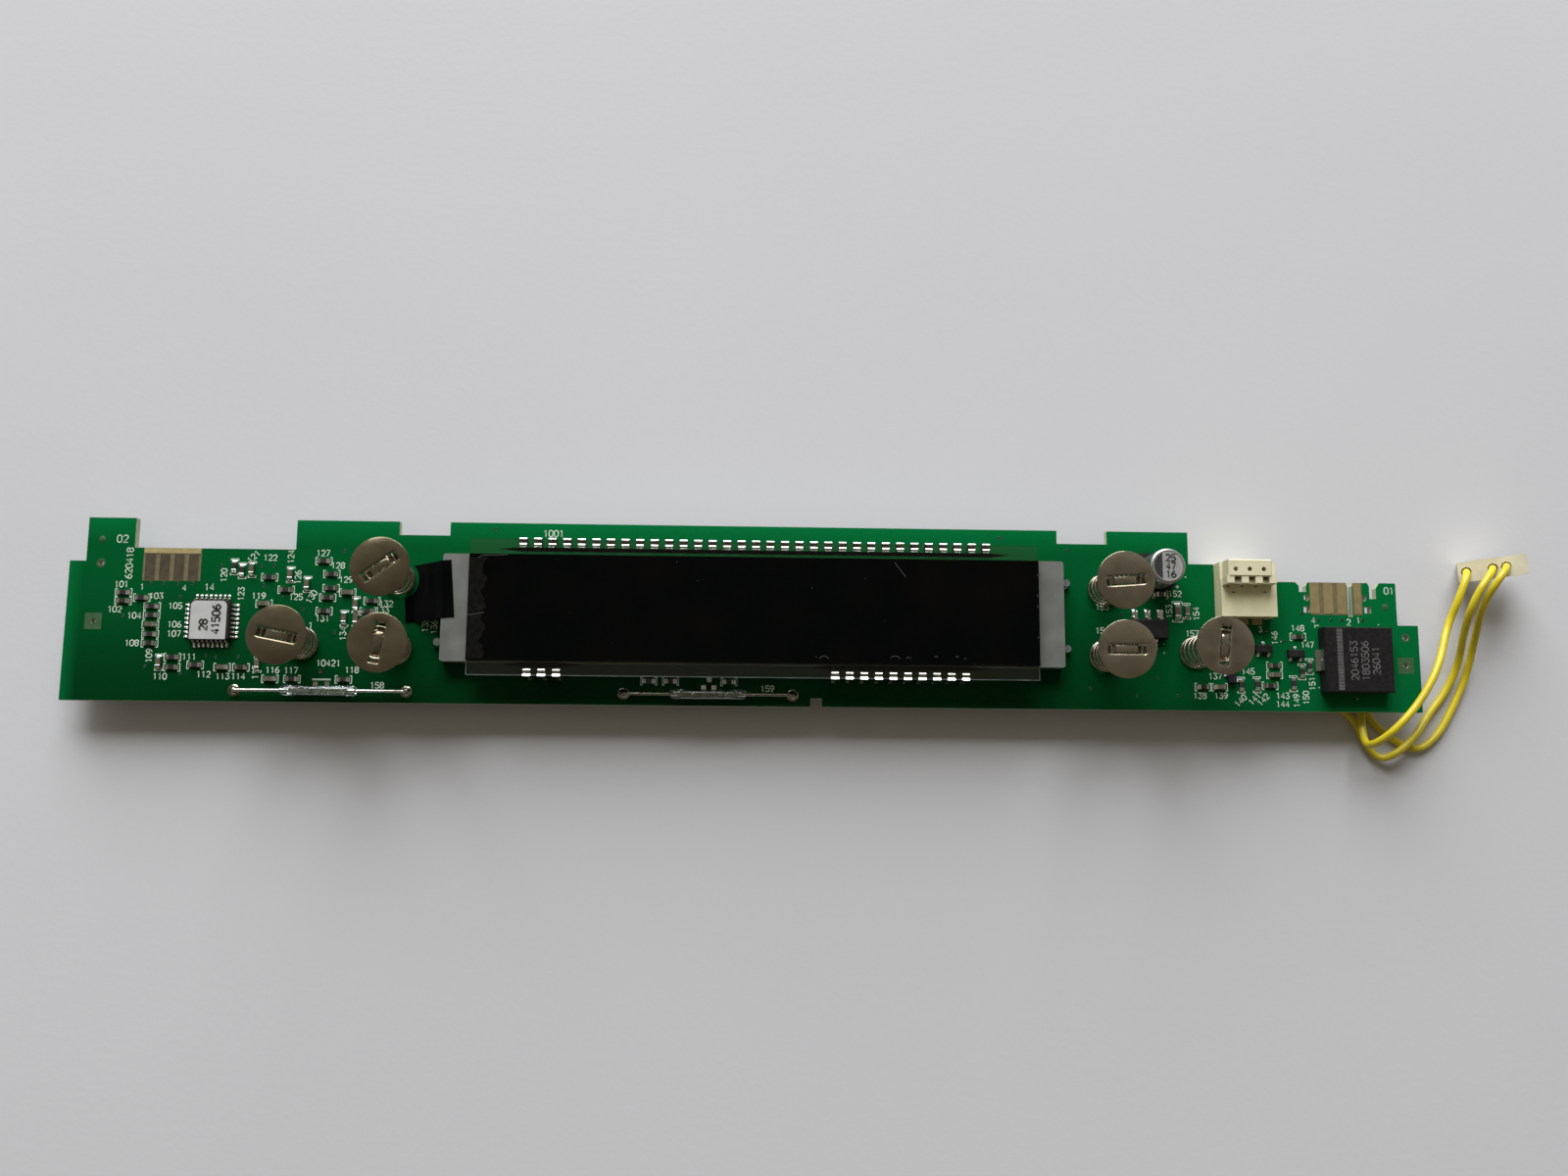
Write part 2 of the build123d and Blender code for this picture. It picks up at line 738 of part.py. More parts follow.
resistors = [(main_run_x + x, y, turn) for x, y, turn in left_resistors]
resistors += [(main_run_x + x, left_row_y, 0) for x in left_row_resistors]
resistors += [(display_x + x, middle_row_y, 0) for x in middle_row_resistors]
resistors += [(plug_left + x, y, turn) for x, y, turn in plug_resistors]
capacitors = [(main_run_x + x, y, turn) for x, y, turn in left_capacitors]
capacitors += [(main_run_x + x, left_row_y, 0) for x in left_row_capacitors]
capacitors += [(main_run_end + x, y, turn) for x, y, turn in right_capacitors]
capacitors += [(plug_left + x, y, turn) for x, y, turn in plug_capacitors]
large_capacitors = [(main_run_end + x, y, turn) for x, y, turn in big_capacitors]


def chip(height, scale=1.0):
    """A chip part on its board, with the solder sloping down from both end caps."""
    body = chip_length / 2 * scale
    foot = body + fillet_reach
    return strip([(-foot, 0), (-body, height), (body, height), (foot, 0)], chip_width * scale)


with BuildPart() as chip_resistors:
    with Locations(*turned(resistors, board_top)):
        add(chip(resistor_height))
keep(chip_resistors, "chip_resistors")

with BuildPart() as chip_capacitors:
    with Locations(*turned(capacitors, board_top)):
        add(chip(capacitor_height))
    with Locations(*turned(large_capacitors, board_top)):
        add(chip(capacitor_height, big_chip_scale))
keep(chip_capacitors, "chip_capacitors")

# ------------------------------------------------------------------ smoothing capacitor
can_base_z = board_top + lead_thickness
can_floor = can_base_z + can_base_height
can_top = board_top + can_height
can_rim = 0.35

with BuildPart() as electrolytic_base:
    with BuildSketch(Plane.XY.offset(can_base_z)):
        with Locations((can_x, can_y)):
            base_face = Rectangle(can_base_side, can_base_side)
        chamfer(base_face.vertices().group_by(Axis.X)[-1], can_base_side * 0.15)
    extrude(amount=can_base_height)
keep(electrolytic_base, "electrolytic_base")

with BuildPart() as electrolytic_can:
    with BuildSketch(Plane.XZ):
        with BuildLine():
            Polyline(
                (0, can_floor),
                (can_radius, can_floor),
                (can_radius, can_top - can_rim),
                (can_radius - can_rim, can_top),
                (0, can_top),
                close=True,
            )
        make_face()
    revolve(axis=Axis.Z)
electrolytic_can.part = Location((can_x, can_y, 0)) * electrolytic_can.part
keep(electrolytic_can, "electrolytic_can")

with BuildPart() as electrolytic_leads:
    with BuildSketch(Plane.XY.offset(board_top)):
        for side in (-1, 1):
            lead_middle = can_x + side * (can_base_side / 2 + can_lead_reach / 2 - 1.0)
            with Locations((lead_middle, can_y)):
                Rectangle(can_lead_reach + 2.0, can_lead_width)
    extrude(amount=lead_thickness)
keep(electrolytic_leads, "electrolytic_leads")

# ------------------------------------------------------------------ voltage regulator
regulator_standoff = 0.1
regulator_shoulder = 0.95
regulator_reach = 1.75
regulator_back_y = regulator_y + regulator_width / 2
regulator_front_y = regulator_y - regulator_width / 2
body_chamfer = 0.25

with BuildPart() as regulator:
    with Locations((regulator_x, regulator_y, board_top + regulator_standoff)):
        Box(
            regulator_length,
            regulator_width,
            regulator_height - regulator_standoff,
            align=(Align.CENTER, Align.CENTER, Align.MIN),
        )
    chamfer(regulator.faces().sort_by(Axis.Z)[-1].edges(), body_chamfer)
keep(regulator, "regulator")

regulator_leads_at = [(regulator_x + (i - 1) * regulator_pitch, regulator_back_y, 90) for i in range(3)]
with BuildPart() as regulator_leads:
    with Locations(*turned(regulator_leads_at, board_top)):
        add(gull_lead(regulator_lead_width, regulator_reach, regulator_shoulder, 0.9))
    with Locations(*turned([(regulator_x, regulator_front_y, -90)], board_top)):
        add(gull_lead(regulator_tab_width, regulator_reach, regulator_shoulder, 0.9))
keep(regulator_leads, "regulator_leads")

# ------------------------------------------------------------------ small transistors
transistor_standoff = 0.08
transistor_shoulder = 0.55
transistor_reach = 0.6
transistor_lead_width = 0.4
transistor_lead_offset = 0.95

with BuildPart() as one_transistor:
    with BuildSketch(Plane.XY.offset(transistor_standoff)):
        Rectangle(transistor_length, transistor_width)
    extrude(amount=transistor_height - transistor_standoff)
    chamfer(one_transistor.faces().sort_by(Axis.Z)[-1].edges(), body_chamfer / 2)

transistors_at = [(plug_left + x, y, turn) for x, y, turn in transistors]
with BuildPart() as transistor_bodies:
    with Locations(*turned(transistors_at, board_top)):
        add(one_transistor.part)
keep(transistor_bodies, "transistors")

transistor_feet = [
    (0, transistor_width / 2, 90),
    (-transistor_lead_offset, -transistor_width / 2, -90),
    (transistor_lead_offset, -transistor_width / 2, -90),
]
with BuildPart() as three_feet:
    with Locations(*turned(transistor_feet, 0)):
        add(gull_lead(transistor_lead_width, transistor_reach, transistor_shoulder, 0.3))

with BuildPart() as transistor_leads:
    with Locations(*turned(transistors_at, board_top)):
        add(three_feet.part)
keep(transistor_leads, "transistor_leads")

# ------------------------------------------------------------------ buzzer
buzzer_tab_thickness = 0.3
buzzer_tab_rise = 2.2
buzzer_tab_foot = 0.8
buzzer_edge = 0.15

with BuildPart() as buzzer:
    with Locations((buzzer_x, buzzer_y, board_top)):
        Box(buzzer_length, buzzer_width, buzzer_height, align=(Align.CENTER, Align.CENTER, Align.MIN))
    chamfer(buzzer.faces().sort_by(Axis.Z)[-1].edges(), buzzer_edge)
    with BuildSketch(Plane.XY.offset(board_top + buzzer_height)):
        with Locations((buzzer_x + vent_x, buzzer_y)):
            Rectangle(vent_width, buzzer_width - 2 * vent_margin)
    extrude(amount=-vent_depth, mode=Mode.SUBTRACT)
keep(buzzer, "buzzer")

tab_outline = [
    (0, 0),
    (buzzer_tab_foot, 0),
    (buzzer_tab_foot, buzzer_tab_thickness),
    (buzzer_tab_thickness, buzzer_tab_thickness),
    (buzzer_tab_thickness, buzzer_tab_rise),
    (0, buzzer_tab_rise),
]
buzzer_tabs_at = [(buzzer_x + side * buzzer_length / 2, buzzer_y, 90 - 90 * side) for side in (-1, 1)]
with BuildPart() as buzzer_terminals:
    with Locations(*turned(buzzer_tabs_at, board_top)):
        add(strip(tab_outline, buzzer_tab_width))
keep(buzzer_terminals, "buzzer_terminals")

# ------------------------------------------------------------------ reed switches
reed_z = board_top + reed_lift
glass_half = reed_glass_length / 2
seal_inner = glass_half - reed_seal_length
cavity_radius = reed_glass_radius - reed_glass_wall
lead_hole = reed_lead_radius + seat_gap
blade_shift = (reed_blade_thickness + 0.06) / 2

with BuildPart() as one_glass:
    with BuildSketch(Plane.YZ.offset(-glass_half)):
        RegularPolygon(reed_glass_radius, reed_glass_sides)
    extrude(amount=reed_glass_length)
    glass_ends = one_glass.faces().filter_by(Axis.X).edges()
    chamfer(glass_ends, length=glass_shoulder, length2=reed_glass_radius * 0.5)
    with BuildSketch(Plane.YZ.offset(-seal_inner)):
        RegularPolygon(cavity_radius, reed_glass_sides)
    extrude(amount=2 * seal_inner, mode=Mode.SUBTRACT)
    with BuildSketch(Plane.YZ.offset(-glass_half)):
        RegularPolygon(lead_hole, 8, rotation=90)
    extrude(amount=reed_glass_length, mode=Mode.SUBTRACT)

lead_drop = reed_lift + board_thickness


def reed_lead(side):
    """One lead, from its end under the board to its blade inside the glass, over or under the other."""
    with BuildPart() as lead:
        with BuildLine() as path:
            end = side * reed_lead_span / 2
            Polyline((end, 0, -lead_drop), (end, 0, 0), (side * seal_inner, 0, 0))
        with BuildSketch(Plane(origin=path.line @ 0, z_dir=(0, 0, 1))):
            RegularPolygon(reed_lead_radius, 8)
        sweep(path=path.line, transition=Transition.RIGHT)
        blade_length = seal_inner + reed_blade_overlap / 2
        with Locations((side * (seal_inner - blade_length / 2), 0, side * blade_shift)):
            Box(blade_length, reed_blade_width, reed_blade_thickness)
    return lead.part


for number, reed_x in enumerate(reed_places, start=1):
    with BuildPart() as reed_glass:
        with Locations((reed_x, reed_y, reed_z)):
            add(one_glass.part)
    keep(reed_glass, f"reed_glass_{number}")

    with BuildPart() as reed_leads:
        with Locations((reed_x, reed_y, reed_z)):
            add([reed_lead(-1), reed_lead(1)])
    keep(reed_leads, f"reed_leads_{number}")

solder_dome_height = 0.7
dome_hole = reed_lead_radius + seat_gap
with BuildPart() as one_dome:
    with BuildSketch():
        RegularPolygon(solder_dome_radius, 8)
    extrude(amount=solder_dome_height, taper=30)
    with BuildSketch():
        RegularPolygon(dome_hole, 8)
    extrude(amount=solder_dome_height, mode=Mode.SUBTRACT)

with BuildPart() as reed_solder:
    with Locations(*[(x, y, board_top) for x, y in reed_ends]):
        add(one_dome.part)
keep(reed_solder, "reed_solder")

# ------------------------------------------------------------------ edge plug
plug_seam_y = plug_front_y + plug_front_depth
plug_rear_floor = board_top + plug_front_rise - 0.4
slot_half = plug_tongue_half + plug_clearance
slot_height = board_thickness + 2 * plug_clearance
pocket_width = contact_width + 2 * plug_clearance
pocket_rise = 0.7
contact_front_y = plug_front_y + 1.0
contact_back_y = plug_edge_y + 0.9
plug_ways = [plug_middle + (i - 1) * pad_pitch for i in range(3)]
wire_hole_depth = 1.0
wire_hole_radius = wire_diameter / 2 + 0.06
base_corner = (Align.MIN, Align.MIN, Align.MIN)
middle_front = (Align.CENTER, Align.MIN, Align.CENTER)

with BuildPart() as edge_plug_housing:
    with Locations((plug_left, plug_front_y, 0)):
        Box(plug_width, plug_front_depth, board_top + plug_front_rise, align=base_corner)
    with Locations((plug_left, plug_seam_y, 0)):
        Box(plug_width, plug_rear_depth, plug_rear_floor, align=base_corner)
    # nubs on the front wall
    for nub_x in (plug_left + 3.3, plug_right - 1.0):
        with Locations((nub_x, plug_front_y - nub_reach, board_top + seat_gap)):
            Box(nub_width, nub_reach, plug_front_rise * 0.8, align=(Align.CENTER, Align.MIN, Align.MIN))
    # mouth for the board's tongue
    mouth_depth = plug_edge_y + plug_clearance - plug_front_y + nub_reach
    with Locations((plug_middle, plug_front_y - nub_reach, (underside + board_top) / 2)):
        Box(2 * slot_half, mouth_depth, slot_height, align=middle_front, mode=Mode.SUBTRACT)
    # one pocket for each contact, across the mouth
    with Locations(*[(x, contact_front_y - plug_clearance, (underside + board_top) / 2) for x in plug_ways]):
        pocket_depth = contact_back_y - contact_front_y + 2 * plug_clearance
        Box(pocket_width, pocket_depth, slot_height + 2 * pocket_rise, align=middle_front, mode=Mode.SUBTRACT)
    # holes where the wires go in, under the mouth
    with BuildSketch(Plane.XZ.offset(-plug_front_y - wire_hole_depth)):
        with Locations(*[(x, wire_exit_z) for x in plug_ways]):
            RegularPolygon(wire_hole_radius, 8)
    extrude(amount=2 * wire_hole_depth, mode=Mode.SUBTRACT)
    # recesses in the top face
    with BuildSketch(Plane.XY.offset(board_top + plug_front_rise)):
        with Locations(*[(x - 0.1, plug_seam_y - notch_depth / 2) for x in plug_ways]):
            Trapezoid(notch_width, notch_depth, 75)
        with Locations(*[(x - pad_pitch / 2, plug_seam_y - 2 * notch_depth) for x in plug_ways]):
            RegularPolygon(notch_depth * 0.6, 3, rotation=90)
    extrude(amount=-2 * notch_depth, mode=Mode.SUBTRACT)
keep(edge_plug_housing, "edge_plug_housing")

cover_left = plug_left + plug_cover_inset
cover_height = board_top + plug_rear_rise - plug_rear_floor
probe_y = plug_seam_y + plug_rear_depth * 0.45
probe_holes = [cover_left + plug_cover_width * 0.165 + i * pad_pitch for i in range(3)]
with BuildPart() as edge_plug_cover:
    with Locations((cover_left, plug_seam_y + plug_clearance, plug_rear_floor)):
        Box(plug_cover_width, plug_rear_depth - plug_clearance, cover_height, align=base_corner)
    chamfer(edge_plug_cover.faces().sort_by(Axis.Z)[-1].edges(), 0.2)
    with BuildSketch(Plane.XY.offset(board_top + plug_rear_rise)):
        with Locations(*[(x, probe_y) for x in probe_holes]):
            RegularPolygon(probe_hole_radius, 8)
    extrude(amount=-probe_hole_depth, mode=Mode.SUBTRACT)
keep(edge_plug_cover, "edge_plug_cover")

contact_floor = underside - pad_thickness
contact_ceiling = board_top + pad_thickness
with BuildPart() as one_contact:
    with BuildSketch(Plane.YZ):
        with BuildLine():
            Polyline(
                (contact_front_y, contact_ceiling),
                (contact_back_y - contact_thickness, contact_ceiling),
                (contact_back_y - contact_thickness, contact_floor),
                (contact_front_y, contact_floor),
                (contact_front_y, contact_floor - contact_thickness),
                (contact_back_y, contact_floor - contact_thickness),
                (contact_back_y, contact_ceiling + contact_thickness),
                (contact_front_y, contact_ceiling + contact_thickness),
                close=True,
            )
        make_face()
    extrude(amount=contact_width / 2, both=True)

with BuildPart() as edge_plug_contacts:
    with Locations(*[(x, 0, 0) for x in plug_ways]):
        add(one_contact.part)
keep(edge_plug_contacts, "edge_plug_contacts")

# ------------------------------------------------------------------ five-way plug at the far end of the wires
lean_x = -sin(radians(five_way_lean_left))
lean_y = -sin(radians(five_way_lean_front))
outward = Vector(lean_x, lean_y, sqrt(1 - lean_x**2 - lean_y**2))
heading = Vector(cos(radians(five_way_turn)), sin(radians(five_way_turn)), 0)
along = (heading - outward * heading.dot(outward)).normalized()
across = outward.cross(along)
# the face stands so high that the lowest corner of the plug just touches the surface
five_way_face_z = (
    five_way_height * outward.Z + five_way_length / 2 * abs(along.Z) + five_way_width / 2 * abs(across.Z)
)
five_way_origin = Vector(plug_middle + five_way_face[0], plug_front_y + five_way_face[1], five_way_face_z)
five_way_plane = Plane(origin=five_way_origin, x_dir=along, z_dir=outward)
wired_places = [(way * five_way_pitch, 0) for way in wired_ways]
all_places = [(way * five_way_pitch, 0) for way in range(-2, 3)]
cavity_thickness = five_way_width - 2 * five_way_inset - 0.9

with BuildPart() as five_way_housing:
    with BuildSketch(five_way_plane):
        Rectangle(five_way_length, five_way_width)
    extrude(amount=-five_way_collar)
    with BuildSketch(five_way_plane):
        Rectangle(five_way_length - 2 * five_way_inset, five_way_width - 2 * five_way_inset)
    extrude(amount=-five_way_height)
    with BuildSketch(five_way_plane):
        with Locations(*wired_places):
            RegularPolygon(five_way_socket_radius, 8)
    extrude(amount=-five_way_socket_depth, mode=Mode.SUBTRACT)
    with BuildSketch(five_way_plane.offset(-five_way_height)):
        with Locations(*all_places):
            Rectangle(five_way_cavity_width, cavity_thickness)
    extrude(amount=five_way_cavity_depth, mode=Mode.SUBTRACT)
keep(five_way_housing, "five_way_housing")

five_way_contact_length = five_way_cavity_depth - 0.4
with BuildPart() as five_way_contacts:
    with BuildSketch(five_way_plane.offset(five_way_cavity_depth - five_way_height)):
        with Locations(*wired_places):
            Rectangle(five_way_cavity_width - 0.2, cavity_thickness - 0.2)
            Rectangle(five_way_cavity_width - 0.6, cavity_thickness - 0.6, mode=Mode.SUBTRACT)
    extrude(amount=-five_way_contact_length)
keep(five_way_contacts, "five_way_contacts")

# ------------------------------------------------------------------ wires
# each route leaves the edge plug under the board, lies on the surface and ends at the five-way plug;
# x and y run from the middle and the front of the edge plug
wire_start_y = plug_front_y + wire_hole_depth
wire_lift = 2.8
wire_routes = [
    [
        (0.0, -3.5, 1.5),
        (4.85, -8.1, 0.75),
        (13.45, -12.7, 0.75),
        (19.45, -15.4, 0.75),
        (22.95, -17.4, 0.75),
        (22.75, -20.1, 1.9),
        (21.95, -22.5, 4.8),
        (22.85, -22.0, 8.0),
        (25.45, -19.3, 10.3),
        (29.75, -14.6, 10.4),
        (33.45, -8.5, 10.1),
        (37.15, -1.3, 6.2),
        (38.85, 4.4, 8.6),
    ],
    [
        (-2.5, -4.1, 1.5),
        (2.35, -10.1, 0.75),
        (11.45, -14.5, 0.75),
        (17.25, -16.8, 0.75),
        (20.65, -18.6, 0.75),
        (23.05, -22.7, 0.75),
        (26.05, -25.1, 1.2),
        (28.85, -23.6, 2.9),
        (32.45, -20.3, 2.7),
        (35.25, -16.9, 1.1),
        (39.05, -12.7, 0.75),
        (41.45, -7.5, 1.6),
        (40.35, -1.5, 6.4),
        (40.55, 4.0, 10.6),
    ],
    [
        (2.5, -3.1, 1.5),
        (7.15, -6.4, 0.75),
        (15.45, -10.9, 0.75),
        (21.25, -14.3, 0.75),
        (25.05, -17.0, 0.75),
        (29.35, -20.9, 0.75),
        (33.25, -23.6, 0.75),
        (37.25, -20.5, 0.75),
        (40.45, -15.1, 0.75),
        (43.05, -9.8, 0.9),
        (43.75, -3.1, 3.4),
        (42.55, 2.8, 9.1),
        (44.05, 6.8, 12.2),
    ],
]


def corner_radii(points):
    """A bend radius for each corner of a route: its arc takes under half of the shorter run beside it."""
    radii = []
    for before, corner, after in zip(points, points[1:], points[2:]):
        run_in = Vector(*corner) - Vector(*before)
        run_out = Vector(*after) - Vector(*corner)
        half_turn = radians(run_in.get_angle(run_out)) / 2
        radii.append(0.45 * min(run_in.length, run_out.length) / tan(half_turn))
    return radii


for number, (way, route) in enumerate(zip(wired_ways, wire_routes), start=1):
    way_face = five_way_origin + along * (way * five_way_pitch)
    way_mouth = tuple(way_face + outward * wire_lift)
    way_floor = tuple(way_face - outward * five_way_socket_depth)
    laid = [(plug_middle + x, plug_front_y + y, z) for x, y, z in route]
    points = [(laid[0][0], wire_start_y, wire_exit_z)] + laid + [way_mouth, way_floor]
    radii = corner_radii(points)
    with BuildPart() as wire:
        with BuildLine() as wire_path:
            FilletPolyline(*points, radius=radii)
        with BuildSketch(Plane(origin=wire_path.line @ 0, z_dir=wire_path.line % 0)):
            RegularPolygon(wire_diameter / 2, wire_sides)
        sweep(path=wire_path.line)
    keep(wire, f"wire_{number}")
    wire_length = sum(edge.length for edge in wire_path.line.edges())
    section = wire_sides / 2 * (wire_diameter / 2) ** 2 * sin(2 * pi / wire_sides)
    fullness = wire.part.volume / (section * wire_length)
    print(f"wire_{number}: length {wire_length:.1f}, volume over section times length {fullness:.4f}")
    print("  radii", ", ".join(f"{radius:.1f}" for radius in radii))

# ------------------------------------------------------------------ tape
# side view along the display: flat on the backlight, down over its end, flat on the board
tape_fold_x = display_x - backlight_length / 2
tape_high = board_top + backlight_thickness
tape_end_x = tape_fold_x - tape_ramp - tape_on_board
tape_start_x = tape_fold_x + tape_on_display
tape_margin = 1.5
tape_middle_x = (tape_end_x + tape_start_x) / 2
tape_length = tape_start_x - tape_end_x
key_two_x, key_two_y = keys[1][:2]
tape_notch_radius = spring_radius + spring_wire + 0.4
tape_side = [
    (tape_start_x + tape_margin, tape_high),
    (tape_fold_x, tape_high),
    (tape_fold_x - tape_ramp, board_top),
    (tape_end_x - tape_margin, board_top),
]
tape_top = [(x, z + tape_thickness) for x, z in reversed(tape_side)]

with BuildPart() as tape:
    with BuildSketch(Plane.XZ):
        with BuildLine():
            Polyline(*tape_side, *tape_top, close=True)
        make_face()
    extrude(amount=2 * board_depth, both=True)
    with BuildSketch(Plane.XY.offset(underside)):
        with Locations(Location((tape_middle_x, tape_y), (0, 0, tape_turn))):
            Rectangle(tape_length, tape_width)
        with Locations((key_two_x, key_two_y)):
            Circle(tape_notch_radius, mode=Mode.SUBTRACT)
    extrude(amount=2 * disc_height, mode=Mode.INTERSECT)
keep(tape, "tape")

for name, part in finished:
    export_step(part, f"parts/{name}.step")
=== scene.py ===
"""Looks of a refrigerator display board: a long green circuit board with a segment display on
clip-on pins, six sprung touch discs, two reed switches, a buzzer, an edge plug and loose wires.

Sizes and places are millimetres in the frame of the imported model. Meshes are written in metres.
"""

import json
import logging
import math
from dataclasses import dataclass, field
from enum import Enum
from typing import Iterable, Protocol, Sequence

import bmesh
import bpy
from mathutils import Matrix, Vector

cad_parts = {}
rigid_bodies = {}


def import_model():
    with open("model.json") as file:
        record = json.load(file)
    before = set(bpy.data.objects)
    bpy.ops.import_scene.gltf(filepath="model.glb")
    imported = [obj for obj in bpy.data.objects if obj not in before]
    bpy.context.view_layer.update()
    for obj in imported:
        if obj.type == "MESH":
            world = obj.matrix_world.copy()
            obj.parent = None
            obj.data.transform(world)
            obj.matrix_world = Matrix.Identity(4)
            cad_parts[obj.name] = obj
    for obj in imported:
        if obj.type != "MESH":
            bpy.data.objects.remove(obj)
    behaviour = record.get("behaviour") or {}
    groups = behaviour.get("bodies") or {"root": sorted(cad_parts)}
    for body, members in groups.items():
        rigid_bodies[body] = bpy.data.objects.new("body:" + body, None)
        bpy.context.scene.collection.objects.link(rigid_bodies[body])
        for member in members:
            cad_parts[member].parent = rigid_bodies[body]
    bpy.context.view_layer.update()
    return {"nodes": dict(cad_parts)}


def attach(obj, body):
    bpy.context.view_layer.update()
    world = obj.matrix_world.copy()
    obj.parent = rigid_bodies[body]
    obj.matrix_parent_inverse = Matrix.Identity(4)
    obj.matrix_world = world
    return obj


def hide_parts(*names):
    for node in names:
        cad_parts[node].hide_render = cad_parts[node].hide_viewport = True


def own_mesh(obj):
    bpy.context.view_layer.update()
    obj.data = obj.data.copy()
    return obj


LOG = logging.getLogger("display_board")
MM = 0.001
FULL = 2 * math.pi
TIP = 1e-4  # the radius that a turned shape's tip keeps
LIFT = 0.006  # how far printed figures stand off what they are printed on

Point = tuple[float, float, float]
Place = tuple[float, float, float]  # x, y and turn in degrees
Flat = tuple[float, float]
Colour = tuple[float, float, float]
Socket = bpy.types.NodeSocket

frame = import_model()
ROOT = "board_assembly"

BOARD_TOP = 6.2
BOARD_UNDERSIDE = 4.6


class Axis(Enum):
    """The axis that a turned shape goes round."""

    X = "X"
    Z = "Z"


# ------------------------------------------------------------------------------------ finishes


class Nodes:
    """Adds nodes to one tree and links them."""

    def __init__(self, tree: bpy.types.NodeTree) -> None:
        """Empties the tree."""
        self.tree = tree
        tree.nodes.clear()

    def feed(self, node: bpy.types.Node, inputs: dict[str | int, object]) -> None:
        """Links sockets to a node's inputs, and sets the inputs that are given as values.

        Args:
            node: the node.
            inputs: a socket or a value for each input, by its name or number.
        """
        for name, value in inputs.items():
            if isinstance(value, Socket):
                self.tree.links.new(value, node.inputs[name])
            else:
                node.inputs[name].default_value = value

    def add(self, kind: str, inputs: dict[str | int, object] | None = None,
            **properties: object) -> bpy.types.Node:
        """Adds a node.

        Args:
            kind: the node's type name.
            inputs: a socket or a value for each named or numbered input.
            properties: the node's own properties.

        Returns:
            The new node.
        """
        node = self.tree.nodes.new(kind)
        for name, value in properties.items():
            setattr(node, name, value)
        self.feed(node, inputs or {})
        return node

    def ramp(self, source: Socket, low: float, high: float, top: float = 1.0,
             bottom: float = 0.0) -> Socket:
        """Stretches a value so that it runs from bottom at low to top at high."""
        limits = {"From Min": low, "From Max": high, "To Min": bottom, "To Max": top}
        return self.add("ShaderNodeMapRange", {"Value": source, **limits}, clamp=True).outputs[0]

    def blend(self, share: Socket, first: Colour | Socket, second: Colour | Socket) -> Socket:
        """Mixes two colours, by the share of the second.

        Args:
            share: the second colour's share, from 0 to 1.
            first: the first colour.
            second: the second colour.

        Returns:
            The mixed colour.
        """
        first, second = (colour if isinstance(colour, Socket) else (*colour, 1.0)
                         for colour in (first, second))
        mix = self.add("ShaderNodeMix", data_type="RGBA")
        self.feed(mix, {0: share, 6: first, 7: second})
        return mix.outputs[2]

    def combine(self, operation: str, *values: Socket | float, clamp: bool = False) -> Socket:
        """Works out a sum on sockets and numbers, in their order."""
        return self.add("ShaderNodeMath", dict(enumerate(values)), operation=operation,
                        use_clamp=clamp).outputs[0]


class Surface(Nodes):
    """The shader tree of one finish."""

    def __init__(self, material: bpy.types.Material) -> None:
        """Empties the material's tree and puts a surface shader and the output in it.

        Args:
            material: the material.
        """
        material.use_nodes = True
        super().__init__(material.node_tree)
        self.shader = self.add("ShaderNodeBsdfPrincipled")
        self.add("ShaderNodeOutputMaterial", {"Surface": self.shader.outputs[0]})
        where = self.add("ShaderNodeTexCoord")
        self.place, self.normal = where.outputs["Object"], where.outputs["Normal"]

    def split(self, vector: Socket) -> Sequence[Socket]:
        """Returns the three parts of a vector."""
        return self.add("ShaderNodeSeparateXYZ", {0: vector}).outputs

    def noise(self, grain: float, detail: float = 3.0, stretch: Point = (1.0, 1.0, 1.0)) -> Socket:
        """Adds a noise pattern over the piece.

        Args:
            grain: the size of one patch, in millimetres.
            detail: how many finer layers it has.
            stretch: how much finer the pattern is along each axis.

        Returns:
            The pattern's value.
        """
        where = self.add("ShaderNodeMapping", {"Vector": self.place, "Scale": stretch}).outputs[0]
        inputs = {"Vector": where, "Scale": 1.0 / (grain * MM), "Detail": detail}
        return self.add("ShaderNodeTexNoise", inputs).outputs[0]

    def lay(self, colour: Socket, grain: Socket, rough: Flat, relief: float) -> None:
        """Sends a colour and a grain to the surface.

        Args:
            colour: the colour.
            grain: the pattern that the gloss and the height follow.
            rough: the roughness, from and to.
            relief: the height of the grain in millimetres.
        """
        self.tint(colour, grain, rough)
        height = {"Distance": relief * MM, "Strength": 1.0, "Height": grain}
        bump = self.add("ShaderNodeBump", height)
        self.feed(self.shader, {"Normal": bump.outputs[0]})

    def tint(self, colour: Socket, grain: Socket, rough: Flat) -> None:
        """Sends a colour to the surface, and lets its roughness wander with the grain."""
        gloss = self.ramp(grain, 0.3, 0.7, rough[1], rough[0])
        self.feed(self.shader, {"Base Color": colour, "Roughness": gloss})


